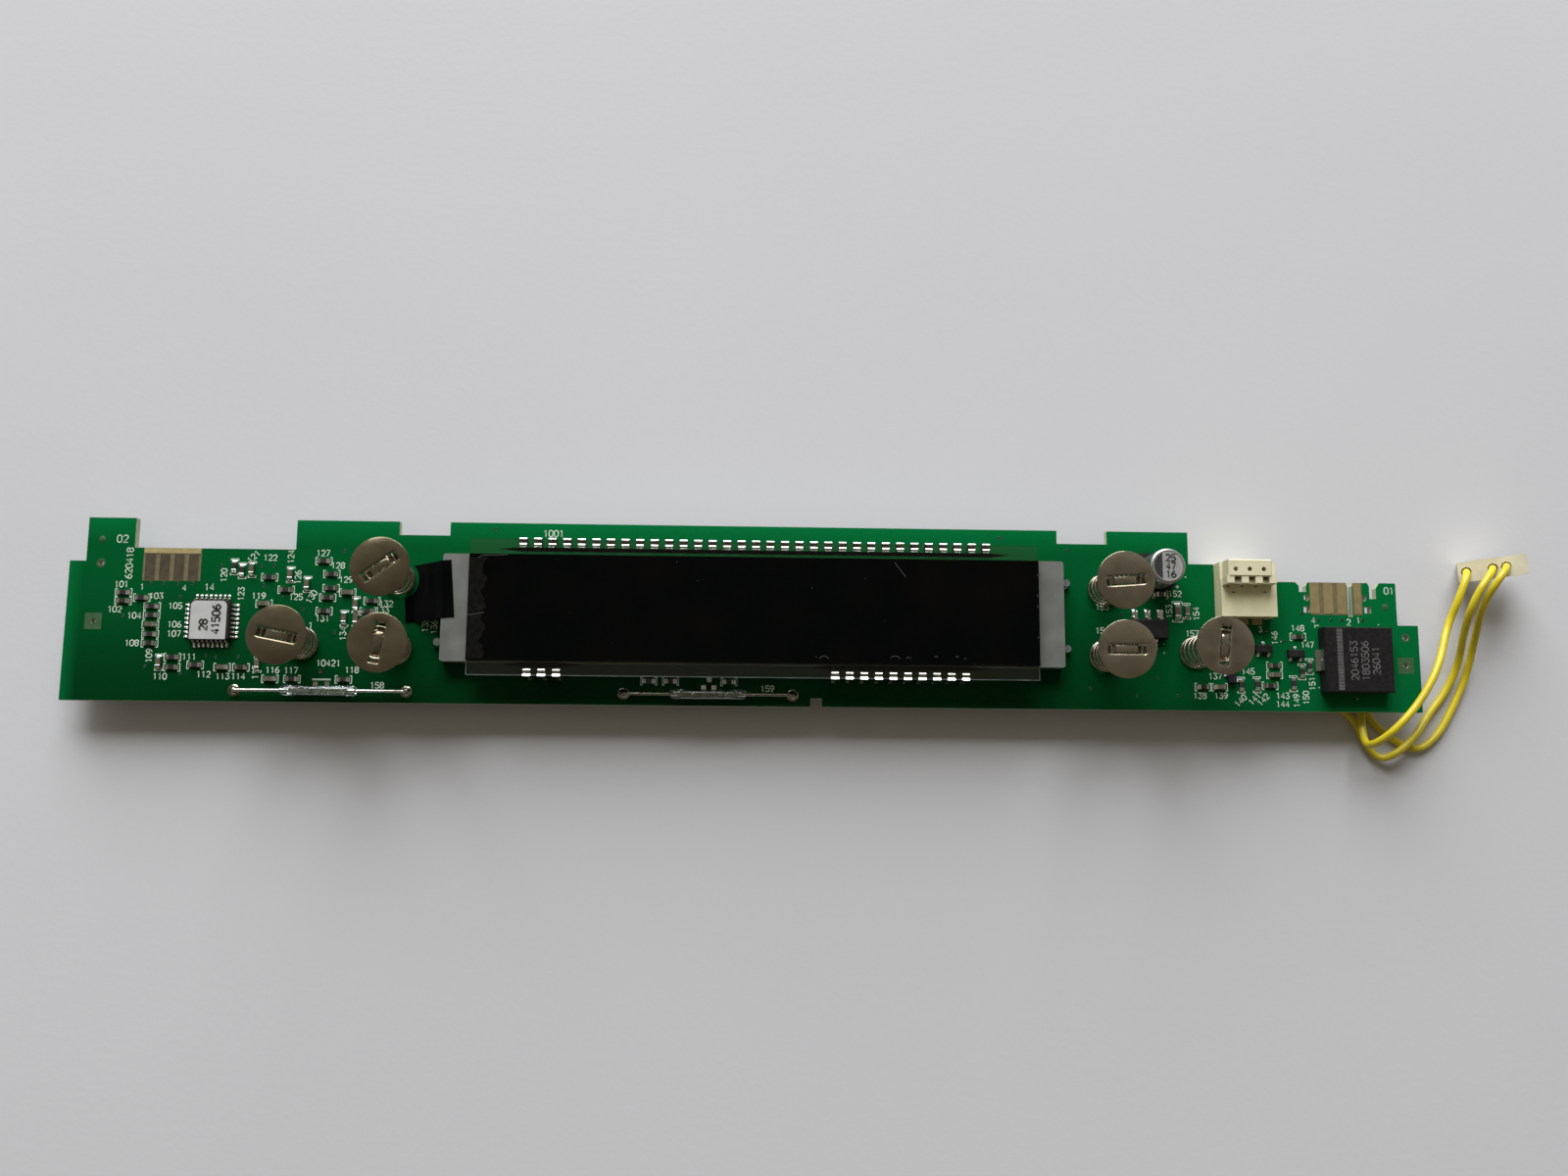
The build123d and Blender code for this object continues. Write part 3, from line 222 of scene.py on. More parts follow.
@dataclass(frozen=True)
class Finish:
    """A surface whose colour, gloss and grain wander a little over the piece."""

    name: str
    colour: Colour
    worn: Colour
    rough: Flat = (0.35, 0.5)
    metal: float = 0.0
    patch: float = 2.0
    grain: float = 0.3
    relief: float = 0.01
    specular: float = 0.5
    stretch: Point = (1.0, 1.0, 1.0)
    slot: str = ""

    def material(self) -> bpy.types.Material:
        """Returns the material, made once and shared by every piece that has this finish.

        Returns:
            The material.
        """
        label = f"{self.name}_finish"
        found = bpy.data.materials.get(label)
        if found:
            return found
        material = bpy.data.materials.new(label)
        surface = Surface(material)
        surface.feed(surface.shader, {"Metallic": self.metal, "Specular IOR Level": self.specular})
        self.pattern(surface)
        return material

    def wear(self, surface: Surface, pattern: Socket, low: float = 0.35,
             high: float = 0.7) -> Socket:
        """Returns the colour, worn where the pattern is high."""
        return surface.blend(surface.ramp(pattern, low, high), self.colour, self.worn)

    def cover(self, surface: Surface, colour: Socket) -> None:
        """Lays a colour with the fine grain over it."""
        grain = surface.noise(self.grain, 2.0, self.stretch)
        surface.lay(colour, grain, self.rough, self.relief)

    def pattern(self, surface: Surface) -> None:
        """Lays patches of the worn colour, and a fine grain."""
        self.cover(surface, self.wear(surface, surface.noise(self.patch)))


@dataclass(frozen=True)
class SolderMask(Finish):
    """Green mask with painted light: lighter towards the window, the ends and the right, where more
    window light falls, with bare cut sides.
    """

    patch: float = 24.0
    grain: float = 0.9
    bare: Colour = (0.42, 0.46, 0.32)
    # The lit green and the three spans below are painted light: a lighter green at both ends, along
    # the upper edge and at the right, where more light falls.
    lit: Colour = (0.0012, 0.165, 0.042)
    reach: Flat = (-16.0, 16.0)
    cloudiness: float = 0.5
    glows: tuple[tuple[float, float, float], ...] = ((117.5, 120.1, 0.6), (11.5, 16.3, 0.75),
                                                     (55.0, 112.0, 0.62))

    def pattern(self, surface: Surface) -> None:
        """Lays the green with painted window light, lighter towards the back, its three painted
        lighter parts (ends, upper edge and right) and the sides.

        Args:
            surface: the surface that the pattern goes on.
        """
        parts = surface.split(surface.place)
        # painted window light: the green lightens from the front edge towards the window side (+y),
        # mixed with random cloudiness
        across = surface.ramp(parts[1], *(y * MM for y in self.reach))
        cloud = surface.noise(self.patch, 2.0)
        shade = surface.combine("MULTIPLY_ADD", cloud, self.cloudiness, across, clamp=True)
        shift = surface.combine("SUBTRACT", shade, self.cloudiness / 2, clamp=True)
        ground = surface.blend(shift, self.colour, self.worn)
        # painted light: lighter green towards the ends, the upper edge and the right, where more
        # light falls
        places = (surface.combine("ABSOLUTE", parts[0]), parts[1], parts[0])
        ends, upper, right = (surface.ramp(place, low * MM, high * MM, top)
                              for place, (low, high, top) in zip(places, self.glows))
        painted_light_share = surface.combine("MAXIMUM", surface.combine("MAXIMUM", ends, upper), right)
        flat = surface.combine("ABSOLUTE", surface.split(surface.normal)[2])
        green = surface.blend(painted_light_share, ground, self.lit)
        self.cover(surface, surface.blend(surface.ramp(flat, 0.5, 0.4), green, self.bare))


@dataclass(frozen=True)
class SeeThrough(Finish):
    """Clear glass or resin, with faint smears that dull its gloss."""

    index: float = 1.5

    def pattern(self, surface: Surface) -> None:
        """Lays the tint and the smears.

        Args:
            surface: the surface that the pattern goes on.
        """
        surface.feed(surface.shader, {"Transmission Weight": 1.0, "IOR": self.index})
        smears = surface.noise(self.patch)
        surface.tint(self.wear(surface, smears, 0.45, 0.75), smears, self.rough)


@dataclass(frozen=True)
class DisplayFilm(Finish):
    """Black glossy film with fine dust and a few faint rubbed lines."""

    patch: float = 9.0
    grain: float = 1.6
    stretch: Point = (0.12, 1.0, 1.0)
    dust: Colour = (0.10, 0.10, 0.10)
    dust_pitch: float = 2.6
    speck: Flat = (0.035, 0.02)

    def pattern(self, surface: Surface) -> None:
        """Lays dust specks over the black.

        Args:
            surface: the surface that the pattern goes on.
        """
        base = self.wear(surface, surface.noise(self.patch), 0.4)
        inputs = {"Scale": 1.0 / (self.dust_pitch * MM), "Vector": surface.place}
        specks = surface.add("ShaderNodeTexVoronoi", inputs, feature="F1").outputs["Distance"]
        self.cover(surface, surface.blend(surface.ramp(specks, *self.speck), base, self.dust))


@dataclass(frozen=True)
class Crinkled(Finish):
    """Thin black tape, creased across."""

    grain: float = 3.2
    stretch: Point = (1.6, 0.35, 1.0)

    def pattern(self, surface: Surface) -> None:
        """Lays long creases."""
        creases = surface.noise(self.grain, 2.0, self.stretch)
        surface.lay(self.wear(surface, creases, 0.4), creases, self.rough, self.relief)


class Palette:
    """Every finish on the board, by its name."""

    # The mask runs from its darker first colour at the front to its lighter worn colour at the
    # back: painted window light, with random cloudiness.
    mask = SolderMask(
        "solder_mask", (0.0002, 0.027, 0.006), (0.0006, 0.104, 0.024), (0.25, 0.36), relief=0.006,
        specular=0.06, slot="board")
    print_ink = Finish(
        "white_print", (0.68, 0.74, 0.64), (0.52, 0.59, 0.48), (0.5, 0.65), patch=0.8)
    gold = Finish(
        "contact_gold", (0.36, 0.285, 0.13), (0.28, 0.22, 0.10), (0.32, 0.5), 0.4, patch=1.4,
        grain=0.25, relief=0.003, stretch=(3.0, 0.3, 1.0), slot="gold")
    flash_gold = Finish(
        "dull_gold", (0.082, 0.064, 0.036), (0.052, 0.042, 0.025), (0.35, 0.55), 0.2, patch=1.2,
        grain=0.25, relief=0.003, stretch=(3.0, 0.3, 1.0), slot="gold")
    laminate = Finish(
        "bare_laminate", (0.40, 0.32, 0.13), (0.30, 0.24, 0.10), (0.45, 0.6), patch=0.9,
        relief=0.005)
    dark_laminate = Finish(
        "dark_laminate", (0.165, 0.132, 0.062), (0.115, 0.096, 0.048), (0.45, 0.6), patch=0.9,
        relief=0.005)
    tinned = Finish(
        "tinned", (0.62, 0.61, 0.57), (0.42, 0.41, 0.37), (0.22, 0.36), 1.0, patch=0.9, grain=0.3,
        relief=0.0015, slot="tinned")
    solder = Finish(
        "solder", (0.88, 0.88, 0.86), (0.68, 0.68, 0.66), (0.12, 0.24), 1.0, patch=0.7, grain=0.4,
        relief=0.003, slot="solder")
    old_solder = Finish(
        "old_solder", (0.34, 0.31, 0.25), (0.15, 0.135, 0.10), (0.14, 0.3), 1.0, patch=0.6,
        grain=0.4, relief=0.003, slot="solder")
    # painted shade: a darker copy of the tinned leads for the second switch, which lies in the
    # display's shadow
    dull_tin = Finish(
        "dull_tin", (0.34, 0.31, 0.25), (0.15, 0.135, 0.10), (0.14, 0.3), 1.0, patch=0.6, grain=0.4,
        relief=0.003, slot="tinned")
    dull_pad = Finish(
        "dull_pad", (0.040, 0.095, 0.042), (0.055, 0.115, 0.055), (0.4, 0.55), 0.0, patch=0.8,
        specular=0.12)
    flux = Finish("brown_flux", (0.024, 0.012, 0.009), (0.050, 0.027, 0.019), (0.2, 0.4), patch=0.5)
    disc = Finish(
        "disc_steel", (0.185, 0.152, 0.094), (0.135, 0.106, 0.062), (0.14, 0.22), 0.75, patch=3.5,
        grain=0.5, relief=0.0008, stretch=(0.2, 3.0, 1.0), slot="disc_steel")
    # painted highlight: a lighter, glossier copy of the disc steel for the three right-hand discs,
    # where more light falls on them
    bright_disc = Finish(
        "bright_disc_steel", (0.33, 0.285, 0.205), (0.23, 0.19, 0.13), (0.12, 0.2), 0.85, patch=3.5,
        grain=0.5, relief=0.0008, stretch=(0.2, 3.0, 1.0), slot="disc_steel")
    spring = Finish(
        "spring_wire", (0.40, 0.36, 0.28), (0.25, 0.22, 0.165), (0.18, 0.28), 1.0, patch=1.2,
        grain=0.4, relief=0.0004, slot="spring_steel")
    glass = SeeThrough(
        "display_glass", (0.80, 0.85, 0.82), (0.72, 0.77, 0.74), (0.02, 0.12), patch=7.0,
        slot="display_glass")
    reed_glass = SeeThrough(
        "reed_glass", (0.86, 0.95, 0.92), (0.80, 0.90, 0.86), (0.02, 0.08), patch=2.0,
        slot="reed_glass")
    resin = SeeThrough(
        "clear_resin", (0.75, 0.76, 0.70), (0.68, 0.69, 0.62), (0.03, 0.12), patch=0.8,
        slot="resin")
    front_film = DisplayFilm(
        "front_film", (0.0014, 0.0020, 0.0019), (0.0030, 0.0026, 0.0024), (0.08, 0.16),
        relief=0.001, specular=0.05, slot="front_film")
    glue_film = Finish(
        "film_bubble", (0.0055, 0.0052, 0.0046), (0.011, 0.0095, 0.008), (0.12, 0.2), patch=0.9,
        specular=0.1, relief=0.004)
    ground_edge = Finish(
        "ground_glass_edge", (0.16, 0.185, 0.17), (0.06, 0.08, 0.07), (0.3, 0.5), patch=2.5)
    rear_film = Finish(
        "rear_film", (0.02, 0.022, 0.022), (0.03, 0.03, 0.03), (0.2, 0.3), slot="rear_film")
    light_guide = Finish(
        "light_guide", (0.165, 0.17, 0.155), (0.12, 0.125, 0.112), (0.35, 0.5), patch=5.0,
        grain=0.5, relief=0.006, slot="light_guide")
    tape = Crinkled(
        "black_tape", (0.0012, 0.0016, 0.0018), (0.003, 0.003, 0.003), (0.25, 0.4), relief=0.08,
        specular=0.04, slot="tape")
    epoxy = Finish(
        "black_epoxy", (0.010, 0.010, 0.010), (0.018, 0.018, 0.017), (0.5, 0.7), patch=1.5,
        grain=0.12, relief=0.005, specular=0.2, slot="black_body")
    chip_black = Finish(
        "chip_glaze", (0.018, 0.018, 0.017), (0.035, 0.034, 0.032), (0.25, 0.4), patch=0.5,
        slot="resistor")
    ceramic = Finish(
        "chip_ceramic", (0.125, 0.098, 0.070), (0.09, 0.072, 0.052), (0.35, 0.5), patch=0.6,
        slot="capacitor")
    paper = Finish(
        "paper_label", (0.47, 0.475, 0.455), (0.41, 0.415, 0.395), (0.6, 0.75), patch=2.5,
        slot="label")
    black_ink = Finish(
        "black_ink", (0.012, 0.012, 0.012), (0.025, 0.025, 0.025), (0.5, 0.6), patch=0.6)
    grey_ink = Finish("grey_ink", (0.17, 0.17, 0.165), (0.12, 0.12, 0.118), (0.5, 0.6), patch=0.6)
    sleeve = Finish(
        "can_sleeve", (0.52, 0.52, 0.51), (0.42, 0.42, 0.41), (0.28, 0.42), 1.0, patch=2.5,
        grain=0.25, relief=0.001, stretch=(1.0, 1.0, 0.2), slot="can")
    lid = Finish(
        "can_lid", (0.40, 0.40, 0.385), (0.32, 0.32, 0.31), (0.3, 0.42), 0.3, patch=1.4, slot="can")
    ivory = Finish(
        "plug_ivory", (0.76, 0.72, 0.46), (0.67, 0.63, 0.40), (0.35, 0.5), patch=3.0, grain=0.5,
        relief=0.01, slot="ivory")
    ivory_cover = Finish(
        "cover_ivory", (0.70, 0.65, 0.44), (0.62, 0.58, 0.39), (0.35, 0.5), patch=3.0, grain=0.5,
        relief=0.01, slot="ivory_cover")
    cream = Finish(
        "plug_cream", (0.76, 0.71, 0.53), (0.66, 0.59, 0.41), (0.35, 0.5), patch=3.0, grain=0.5,
        relief=0.01, slot="ivory_cover")
    buzzer = Finish(
        "buzzer_case", (0.0085, 0.008, 0.008), (0.017, 0.016, 0.016), (0.42, 0.6), patch=0.7,
        grain=0.16, relief=0.006, specular=0.15, slot="buzzer")
    ribs = Finish(
        "vent_ribs", (0.20, 0.20, 0.19), (0.12, 0.12, 0.12), (0.4, 0.5), patch=0.6, slot="buzzer")
    yellow = Finish(
        "wire_yellow", (0.70, 0.56, 0.016), (0.47, 0.38, 0.014), (0.3, 0.42), patch=5.0, grain=0.6,
        relief=0.012, slot="wire")
    via = Finish(
        "masked_via", (0.002, 0.028, 0.011), (0.004, 0.045, 0.016), (0.3, 0.4), patch=0.5,
        slot="board")
    # Pale strokes on the film: a fibre, rubbed marks, bubbles and nicks, and one painted glint.
    scuff = Finish("scuff", (0.09, 0.09, 0.085), (0.05, 0.05, 0.05), (0.5, 0.7), patch=0.4)
    floor = Finish(
        "pale_floor", (0.590, 0.588, 0.602), (0.575, 0.573, 0.587), (0.7, 0.85), patch=120.0,
        grain=1.2, relief=0.02, specular=0.2)


# -------------------------------------------------------------------------------------- shapes


def fan(count: int, start: float = 0.0, sweep: float = FULL) -> list[float]:
    """Returns angles that share a sweep evenly; the full circle leaves out the last one."""
    steps = count if sweep == FULL else count - 1
    return [start + sweep * i / steps for i in range(count)]


def rectangle(left: float, right: float, front: float, back: float) -> list[Flat]:
    """Returns the corners of a rectangle, in turn."""
    return [(left, front), (right, front), (right, back), (left, back)]


class Shape:
    """Collects points in millimetres and faces; each drawing method returns the shape."""

    def __init__(self) -> None:
        """Starts with no points."""
        self.points: list[Point] = []
        self.faces: list[tuple[int, ...]] = []

    def take(self, points: Iterable[Sequence[float]], faces: Iterable[Sequence[int]]) -> "Shape":
        """Adds points, and faces that count from the first of them.

        Args:
            points: the points.
            faces: the faces, each as the numbers of its points.

        Returns:
            The shape.
        """
        first = len(self.points)
        self.points += [tuple(p) for p in points]
        self.faces += [tuple(first + i for i in face) for face in faces]
        return self

    def rings(self, loops: Sequence[Sequence[Sequence[float]]], closed: bool = False) -> "Shape":
        """Skins a row of equal loops.

        Args:
            loops: loops of points, each with the same count.
            closed: the last loop is joined to the first; otherwise both ends get a flat face.

        Returns:
            The shape.
        """
        count, rows = len(loops[0]), len(loops)
        faces = []
        for row in range(rows if closed else rows - 1):
            here, there = row * count, (row + 1) % rows * count
            for i in range(count):
                j = (i + 1) % count
                faces.append((here + i, here + j, there + j, there + i))
        if not closed:
            faces += [tuple(reversed(range(count))), tuple(range((rows - 1) * count, rows * count))]
        return self.take([p for loop in loops for p in loop], faces)

    def stack(self, *layers: tuple[Sequence[Flat], float], closed: bool = False) -> "Shape":
        """Skins flat outlines (x, y), each given with its height."""
        return self.rings([[(x, y, z) for x, y in outline] for outline, z in layers], closed)

    def prism(self, outline: Sequence[Flat], low: float, high: float) -> "Shape":
        """Raises a flat outline (x, y) from one height to another."""
        return self.stack((outline, low), (outline, high))

    def bar(self, outline: Sequence[Flat], half_width: float) -> "Shape":
        """Runs a side view (y, z) along X, half_width each way."""
        return self.rings([[(x, y, z) for y, z in outline] for x in (-half_width, half_width)])

    def turned(self, profile: Sequence[Flat], centre: Point = (0.0, 0.0, 0.0), steps: int = 24,
               axis: Axis = Axis.Z, closed: bool = False) -> "Shape":
        """Turns a profile round an axis through centre.

        Args:
            profile: (radius, distance along the axis) points.
            centre: a point on the axis.
            steps: how many flats go round.
            axis: the axis.
            closed: the profile's last point is joined to its first.

        Returns:
            The shape.
        """
        loops = []
        for radius, along in profile:
            r = max(radius, TIP)
            flat = [(r * math.cos(a), r * math.sin(a)) for a in fan(steps)]
            around = [(u, v, along) if axis is Axis.Z else (along, u, v) for u, v in flat]
            loops.append([tuple(c + o for c, o in zip(centre, offset)) for offset in around])
        return self.rings(loops, closed)

    def join(self, other: "Shape", matrix: Matrix) -> "Shape":
        """Adds another shape, moved by a matrix in millimetres."""
        return self.take([matrix @ Vector(p) for p in other.points], other.faces)

    def mesh(self, name: str, smooth: float = 35.0) -> bpy.types.Mesh:
        """Makes the mesh, in metres, with its faces outwards.

        Args:
            name: the mesh's name.
            smooth: edges sharper than this many degrees stay sharp.

        Returns:
            The mesh.
        """
        mesh = bpy.data.meshes.new(name)
        mesh.from_pydata([tuple(c * MM for c in p) for p in self.points], [], self.faces)
        work = bmesh.new()
        work.from_mesh(mesh)
        bmesh.ops.remove_doubles(work, verts=work.verts, dist=1e-8)
        bmesh.ops.recalc_face_normals(work, faces=work.faces)
        work.to_mesh(mesh)
        work.free()
        mesh.shade_smooth()
        mesh.set_sharp_from_angle(angle=math.radians(smooth))
        return mesh


def put(name: str, data: bpy.types.ID) -> bpy.types.Object:
    """Puts mesh, curve, lamp or camera data into the scene as an object at the origin.

    Args:
        name: the object's name.
        data: what it shows.

    Returns:
        The object.
    """
    piece = bpy.data.objects.new(name, data)
    bpy.context.scene.collection.objects.link(piece)
    return piece


def settle(piece: bpy.types.Object, finish: Finish, stands_for: Sequence[str] = (),
           body: str = ROOT) -> bpy.types.Object:
    """Gives a piece its finish, its body and the nodes that it stands for.

    Args:
        piece: the object.
        finish: its finish.
        stands_for: CAD nodes that it replaces.
        body: the body it moves with.

    Returns:
        The same object.
    """
    if not piece.data.materials:
        piece.data.materials.append(finish.material())
    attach(piece, body)
    if stands_for:
        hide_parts(*stands_for)
    LOG.info("made %s", piece.name)
    return piece


def solid(name: str, shape: Shape, finish: Finish, stands_for: Sequence[str] = (),
          body: str = ROOT, smooth: float = 35.0) -> None:
    """Makes a shape into a finished piece.

    Args:
        name: the piece's name.
        shape: its shape.
        finish: its finish.
        stands_for: CAD nodes that it replaces.
        body: the body it moves with.
        smooth: edges sharper than this many degrees stay sharp.
    """
    settle(put(name, shape.mesh(name, smooth)), finish, stands_for, body)


def dress(finishes: dict[str, Finish]) -> None:
    """Gives each named CAD node its finish.

    Args:
        finishes: the finish of each node, by the node's name.
    """
    for node, finish in finishes.items():
        piece = frame["nodes"][node]
        if piece.material_slots:
            for material_slot in piece.material_slots:
                material_slot.material = finish.material()
        else:
            piece.data.materials.append(finish.material())
        LOG.info("dressed %s", node)


# -------------------------------------------------------------------------- geometry node trees


class Tree(Nodes):
    """A geometry node tree with named inputs, run on an object and kept as a plain mesh."""

    def __init__(self, name: str, sockets: dict[str, str]) -> None:
        """Starts the tree.

        Args:
            name: its name.
            sockets: the type of each named input after the geometry.
        """
        super().__init__(bpy.data.node_groups.new(name, "GeometryNodeTree"))
        face = self.tree.interface
        for label, kind in {"Geometry": "Geometry", **sockets}.items():
            face.new_socket(label, in_out="INPUT", socket_type=f"NodeSocket{kind}")
        face.new_socket("Geometry", in_out="OUTPUT", socket_type="NodeSocketGeometry")
        self.entry = self.add("NodeGroupInput").outputs

    def close(self, geometry: Socket) -> None:
        """Makes the geometry real, gives it the finish and hands it out.

        Args:
            geometry: the last geometry socket.
        """
        real = self.add("GeometryNodeRealizeInstances", {0: geometry}).outputs[0]
        finish = self.add("GeometryNodeSetMaterial", {0: real, "Material": self.entry["Finish"]})
        self.add("NodeGroupOutput", {0: finish.outputs[0]})

    def grow(self, start: bpy.types.ID, values: dict[str, object], name: str) -> bpy.types.Object:
        """Runs the tree and keeps the result as a plain mesh.

        Args:
            start: the mesh or curve that carries the places or the paths; it is used up.
            values: the value of each named input.
            name: the new piece's name.

        Returns:
            The new object, at the origin.
        """
        carrier = put("carrier", start)
        modifier = carrier.modifiers.new(self.tree.name, "NODES")
        modifier.node_group = self.tree
        for item in self.tree.interface.items_tree:
            if getattr(item, "in_out", "") == "INPUT" and item.name in values:
                modifier[item.identifier] = values[item.name]
        bpy.context.view_layer.update()
        evaluated = carrier.evaluated_get(bpy.context.evaluated_depsgraph_get())
        mesh = bpy.data.meshes.new_from_object(evaluated)
        mesh.name = name
        carrier.modifiers.remove(modifier)
        bpy.data.objects.remove(carrier)
        bpy.data.batch_remove([start])
        return put(name, mesh)


class Repeater:
    """Stands one small part on many places."""

    def __init__(self) -> None:
        """Builds the tree: the part on each point, turned by the point's own turn."""
        self.tree = tree = Tree("repeat_on_places",
                                {"Part": "Object", "Finish": "Material", "Size": "Float"})
        part = tree.add("GeometryNodeObjectInfo", {"Object": tree.entry["Part"]})
        turn = tree.add("GeometryNodeInputNamedAttribute", {"Name": "turn"}, data_type="FLOAT")
        euler = tree.add("ShaderNodeCombineXYZ", {"Z": turn.outputs["Attribute"]})
        rotation = tree.add("FunctionNodeEulerToRotation", {0: euler.outputs[0]})
        stand = tree.add("GeometryNodeInstanceOnPoints", {
            "Points": tree.entry["Geometry"], "Instance": part.outputs["Geometry"],
            "Rotation": rotation.outputs[0], "Scale": tree.entry["Size"]})
        tree.close(stand.outputs[0])

    def stand(self, name: str, part: Shape, places: Sequence[Place], height: float, finish: Finish,
              stands_for: Sequence[str] = (), size: float = 1.0) -> None:
        """Stands a part on many places.

        Args:
            name: the piece's name.
            part: the small part, round its own origin.
            places: x, y and turn in degrees of each.
            height: the level they stand on.
            finish: their finish.
            stands_for: CAD nodes that they replace.
            size: how much larger than drawn each is.
        """
        pattern = put("pattern", part.mesh("pattern"))
        points = bpy.data.meshes.new("places")
        points.from_pydata([(x * MM, y * MM, height * MM) for x, y, _ in places], [], [])
        turns = points.attributes.new("turn", "FLOAT", "POINT")
        turns.data.foreach_set("value", [math.radians(turn) for _, _, turn in places])
        values = {"Part": pattern, "Finish": finish.material(), "Size": size}
        piece = self.tree.grow(points, values, name)
        used = pattern.data
        bpy.data.objects.remove(pattern)
        bpy.data.meshes.remove(used)
        settle(piece, finish, stands_for)


class Runner:
    """Runs a section along paths: flat for printed lines, round for wire."""

    def __init__(self, flat: bool) -> None:
        """Builds the tree, with a flat strip that stays level or a round section.

        Args:
            flat: whether the section is the flat strip.
        """
        self.tree = tree = Tree("printed_lines" if flat else "drawn_wire",
                                {"Finish": "Material", "Width": "Float", "Height": "Float"})
        path, width = tree.entry["Geometry"], tree.entry["Width"]
        if flat:
            path = tree.add("GeometryNodeSetCurveNormal", {"Curve": path}, mode="Z_UP").outputs[0]
            section = tree.add("GeometryNodeCurvePrimitiveQuadrilateral",
                               {"Width": width, "Height": tree.entry["Height"]})
        else:
            inputs = {"Resolution": 10, "Radius": tree.combine("MULTIPLY", width, 0.5)}
            section = tree.add("GeometryNodeCurvePrimitiveCircle", inputs)
        sweep = tree.add("GeometryNodeCurveToMesh", {
            "Curve": path, "Profile Curve": section.outputs[0], "Fill Caps": True})
        smooth = {0: sweep.outputs[0], "Shade Smooth": not flat}
        tree.close(tree.add("GeometryNodeSetShadeSmooth", smooth).outputs[0])

    def run(self, name: str, paths: Sequence[Sequence[Point]], width: float, height: float,
            finish: Finish, stands_for: Sequence[str] = ()) -> bpy.types.Object:
        """Runs the section along each path.

        Args:
            name: the piece's name.
            paths: paths of points in millimetres.
            width: the strip's width or the wire's diameter.
            height: the strip's height.
            finish: its finish.
            stands_for: CAD nodes that it replaces.

        Returns:
            The piece.
        """
        curve = bpy.data.curves.new("paths", "CURVE")
        curve.dimensions = "3D"
        for path in paths:
            spline = curve.splines.new("POLY")
            spline.points.add(len(path) - 1)
            for point, place in zip(spline.points, path):
                point.co = (*(c * MM for c in place), 1.0)
        values = {"Finish": finish.material(), "Width": width * MM, "Height": height * MM}
        return settle(self.tree.grow(curve, values, name), finish, stands_for)


@dataclass
class Bench:
    """The node tools that the sub-assemblies share."""

    repeater: Repeater = field(default_factory=Repeater)
    printer: Runner = field(default_factory=lambda: Runner(flat=True))
    wire: Runner = field(default_factory=lambda: Runner(flat=False))


class Assembly(Protocol):
    """What every sub-assembly can do."""

    def finish(self, bench: Bench) -> None:
        """Builds and dresses the pieces, with the shared tools."""


# -------------------------------------------------------------------------------- plain figures

FIGURE_WIDTH = 0.6
FIGURE_PITCH = 0.82
FIGURES: dict[str, list[list[Flat]]] = {
    "0": [[(0, .2), (0, .8), (.2, 1), (.4, 1), (.6, .8), (.6, .2), (.4, 0), (.2, 0), (0, .2)]],
    "1": [[(.12, .78), (.34, 1), (.34, 0)]],
    "2": [[(0, .8), (.2, 1), (.4, 1), (.6, .8), (.6, .6), (0, 0), (.6, 0)]],
    "3": [[(0, 1), (.6, 1), (.3, .6), (.6, .4), (.6, .2), (.4, 0), (.2, 0), (0, .2)]],
    "4": [[(.45, 0), (.45, 1), (0, .3), (.62, .3)]],
    "5": [[(.6, 1), (.06, 1), (0, .55), (.4, .6), (.6, .4), (.6, .2), (.4, 0), (.15, 0), (0, .15)]],
    "6": [[
        (.5, 1), (.2, .85), (0, .45), (0, .2), (.2, 0), (.4, 0), (.6, .2), (.6, .4), (.4, .55),
        (.03, .45)]],
    "7": [[(0, 1), (.6, 1), (.2, 0)]],
    "8": [[
        (.2, .55), (0, .72), (0, .85), (.2, 1), (.4, 1), (.6, .85), (.6, .72), (.4, .55), (.2, .55),
        (0, .35), (0, .2), (.2, 0), (.4, 0), (.6, .2), (.6, .35), (.4, .55)]],
    "9": [[
        (.1, 0), (.4, .15), (.6, .55), (.6, .8), (.4, 1), (.2, 1), (0, .8), (0, .6), (.2, .45),
        (.57, .55)]],
    "+": [[(.0, .5), (.6, .5)], [(.3, .2), (.3, .8)]],
}


def figures(text: str, centre: Point, height: float = 1.05, turn: float = 0.0) -> list[list[Point]]:
    """Draws a plain number as strokes.

    Args:
        text: the figures.
        centre: the middle of the number.
        height: how tall the figures are, in millimetres.
        turn: how far the number is turned, in degrees.

    Returns:
        One path for each stroke.
    """
    across = (len(text) - 1) * FIGURE_PITCH + FIGURE_WIDTH
    spin = Matrix.Rotation(math.radians(turn), 3, "Z")
    paths = []
    for index, figure in enumerate(text):
        for stroke in FIGURES[figure]:
            flat = [((x + index * FIGURE_PITCH - across / 2) * height, (y - 0.5) * height)
                    for x, y in stroke]
            paths.append([tuple(spin @ Vector((x, y, 0.0)) + Vector(centre)) for x, y in flat])
    return paths


def figure_rows(rows: Iterable[tuple[str, float, float]], level: float, height: float,
                turn: float = 0.0) -> list[list[Point]]:
    """Draws several plain numbers (text, x, y) of one level, height and turn."""
    return [stroke for text, x, y in rows for stroke in figures(text, (x, y, level), height, turn)]


def lift(lines: Iterable[Sequence[Flat]], level: float) -> list[list[Point]]:
    """Lays flat lines on a level."""
    return [[(x, y, level) for x, y in line] for line in lines]


# ---------------------------------------------------------------------------------- the studio


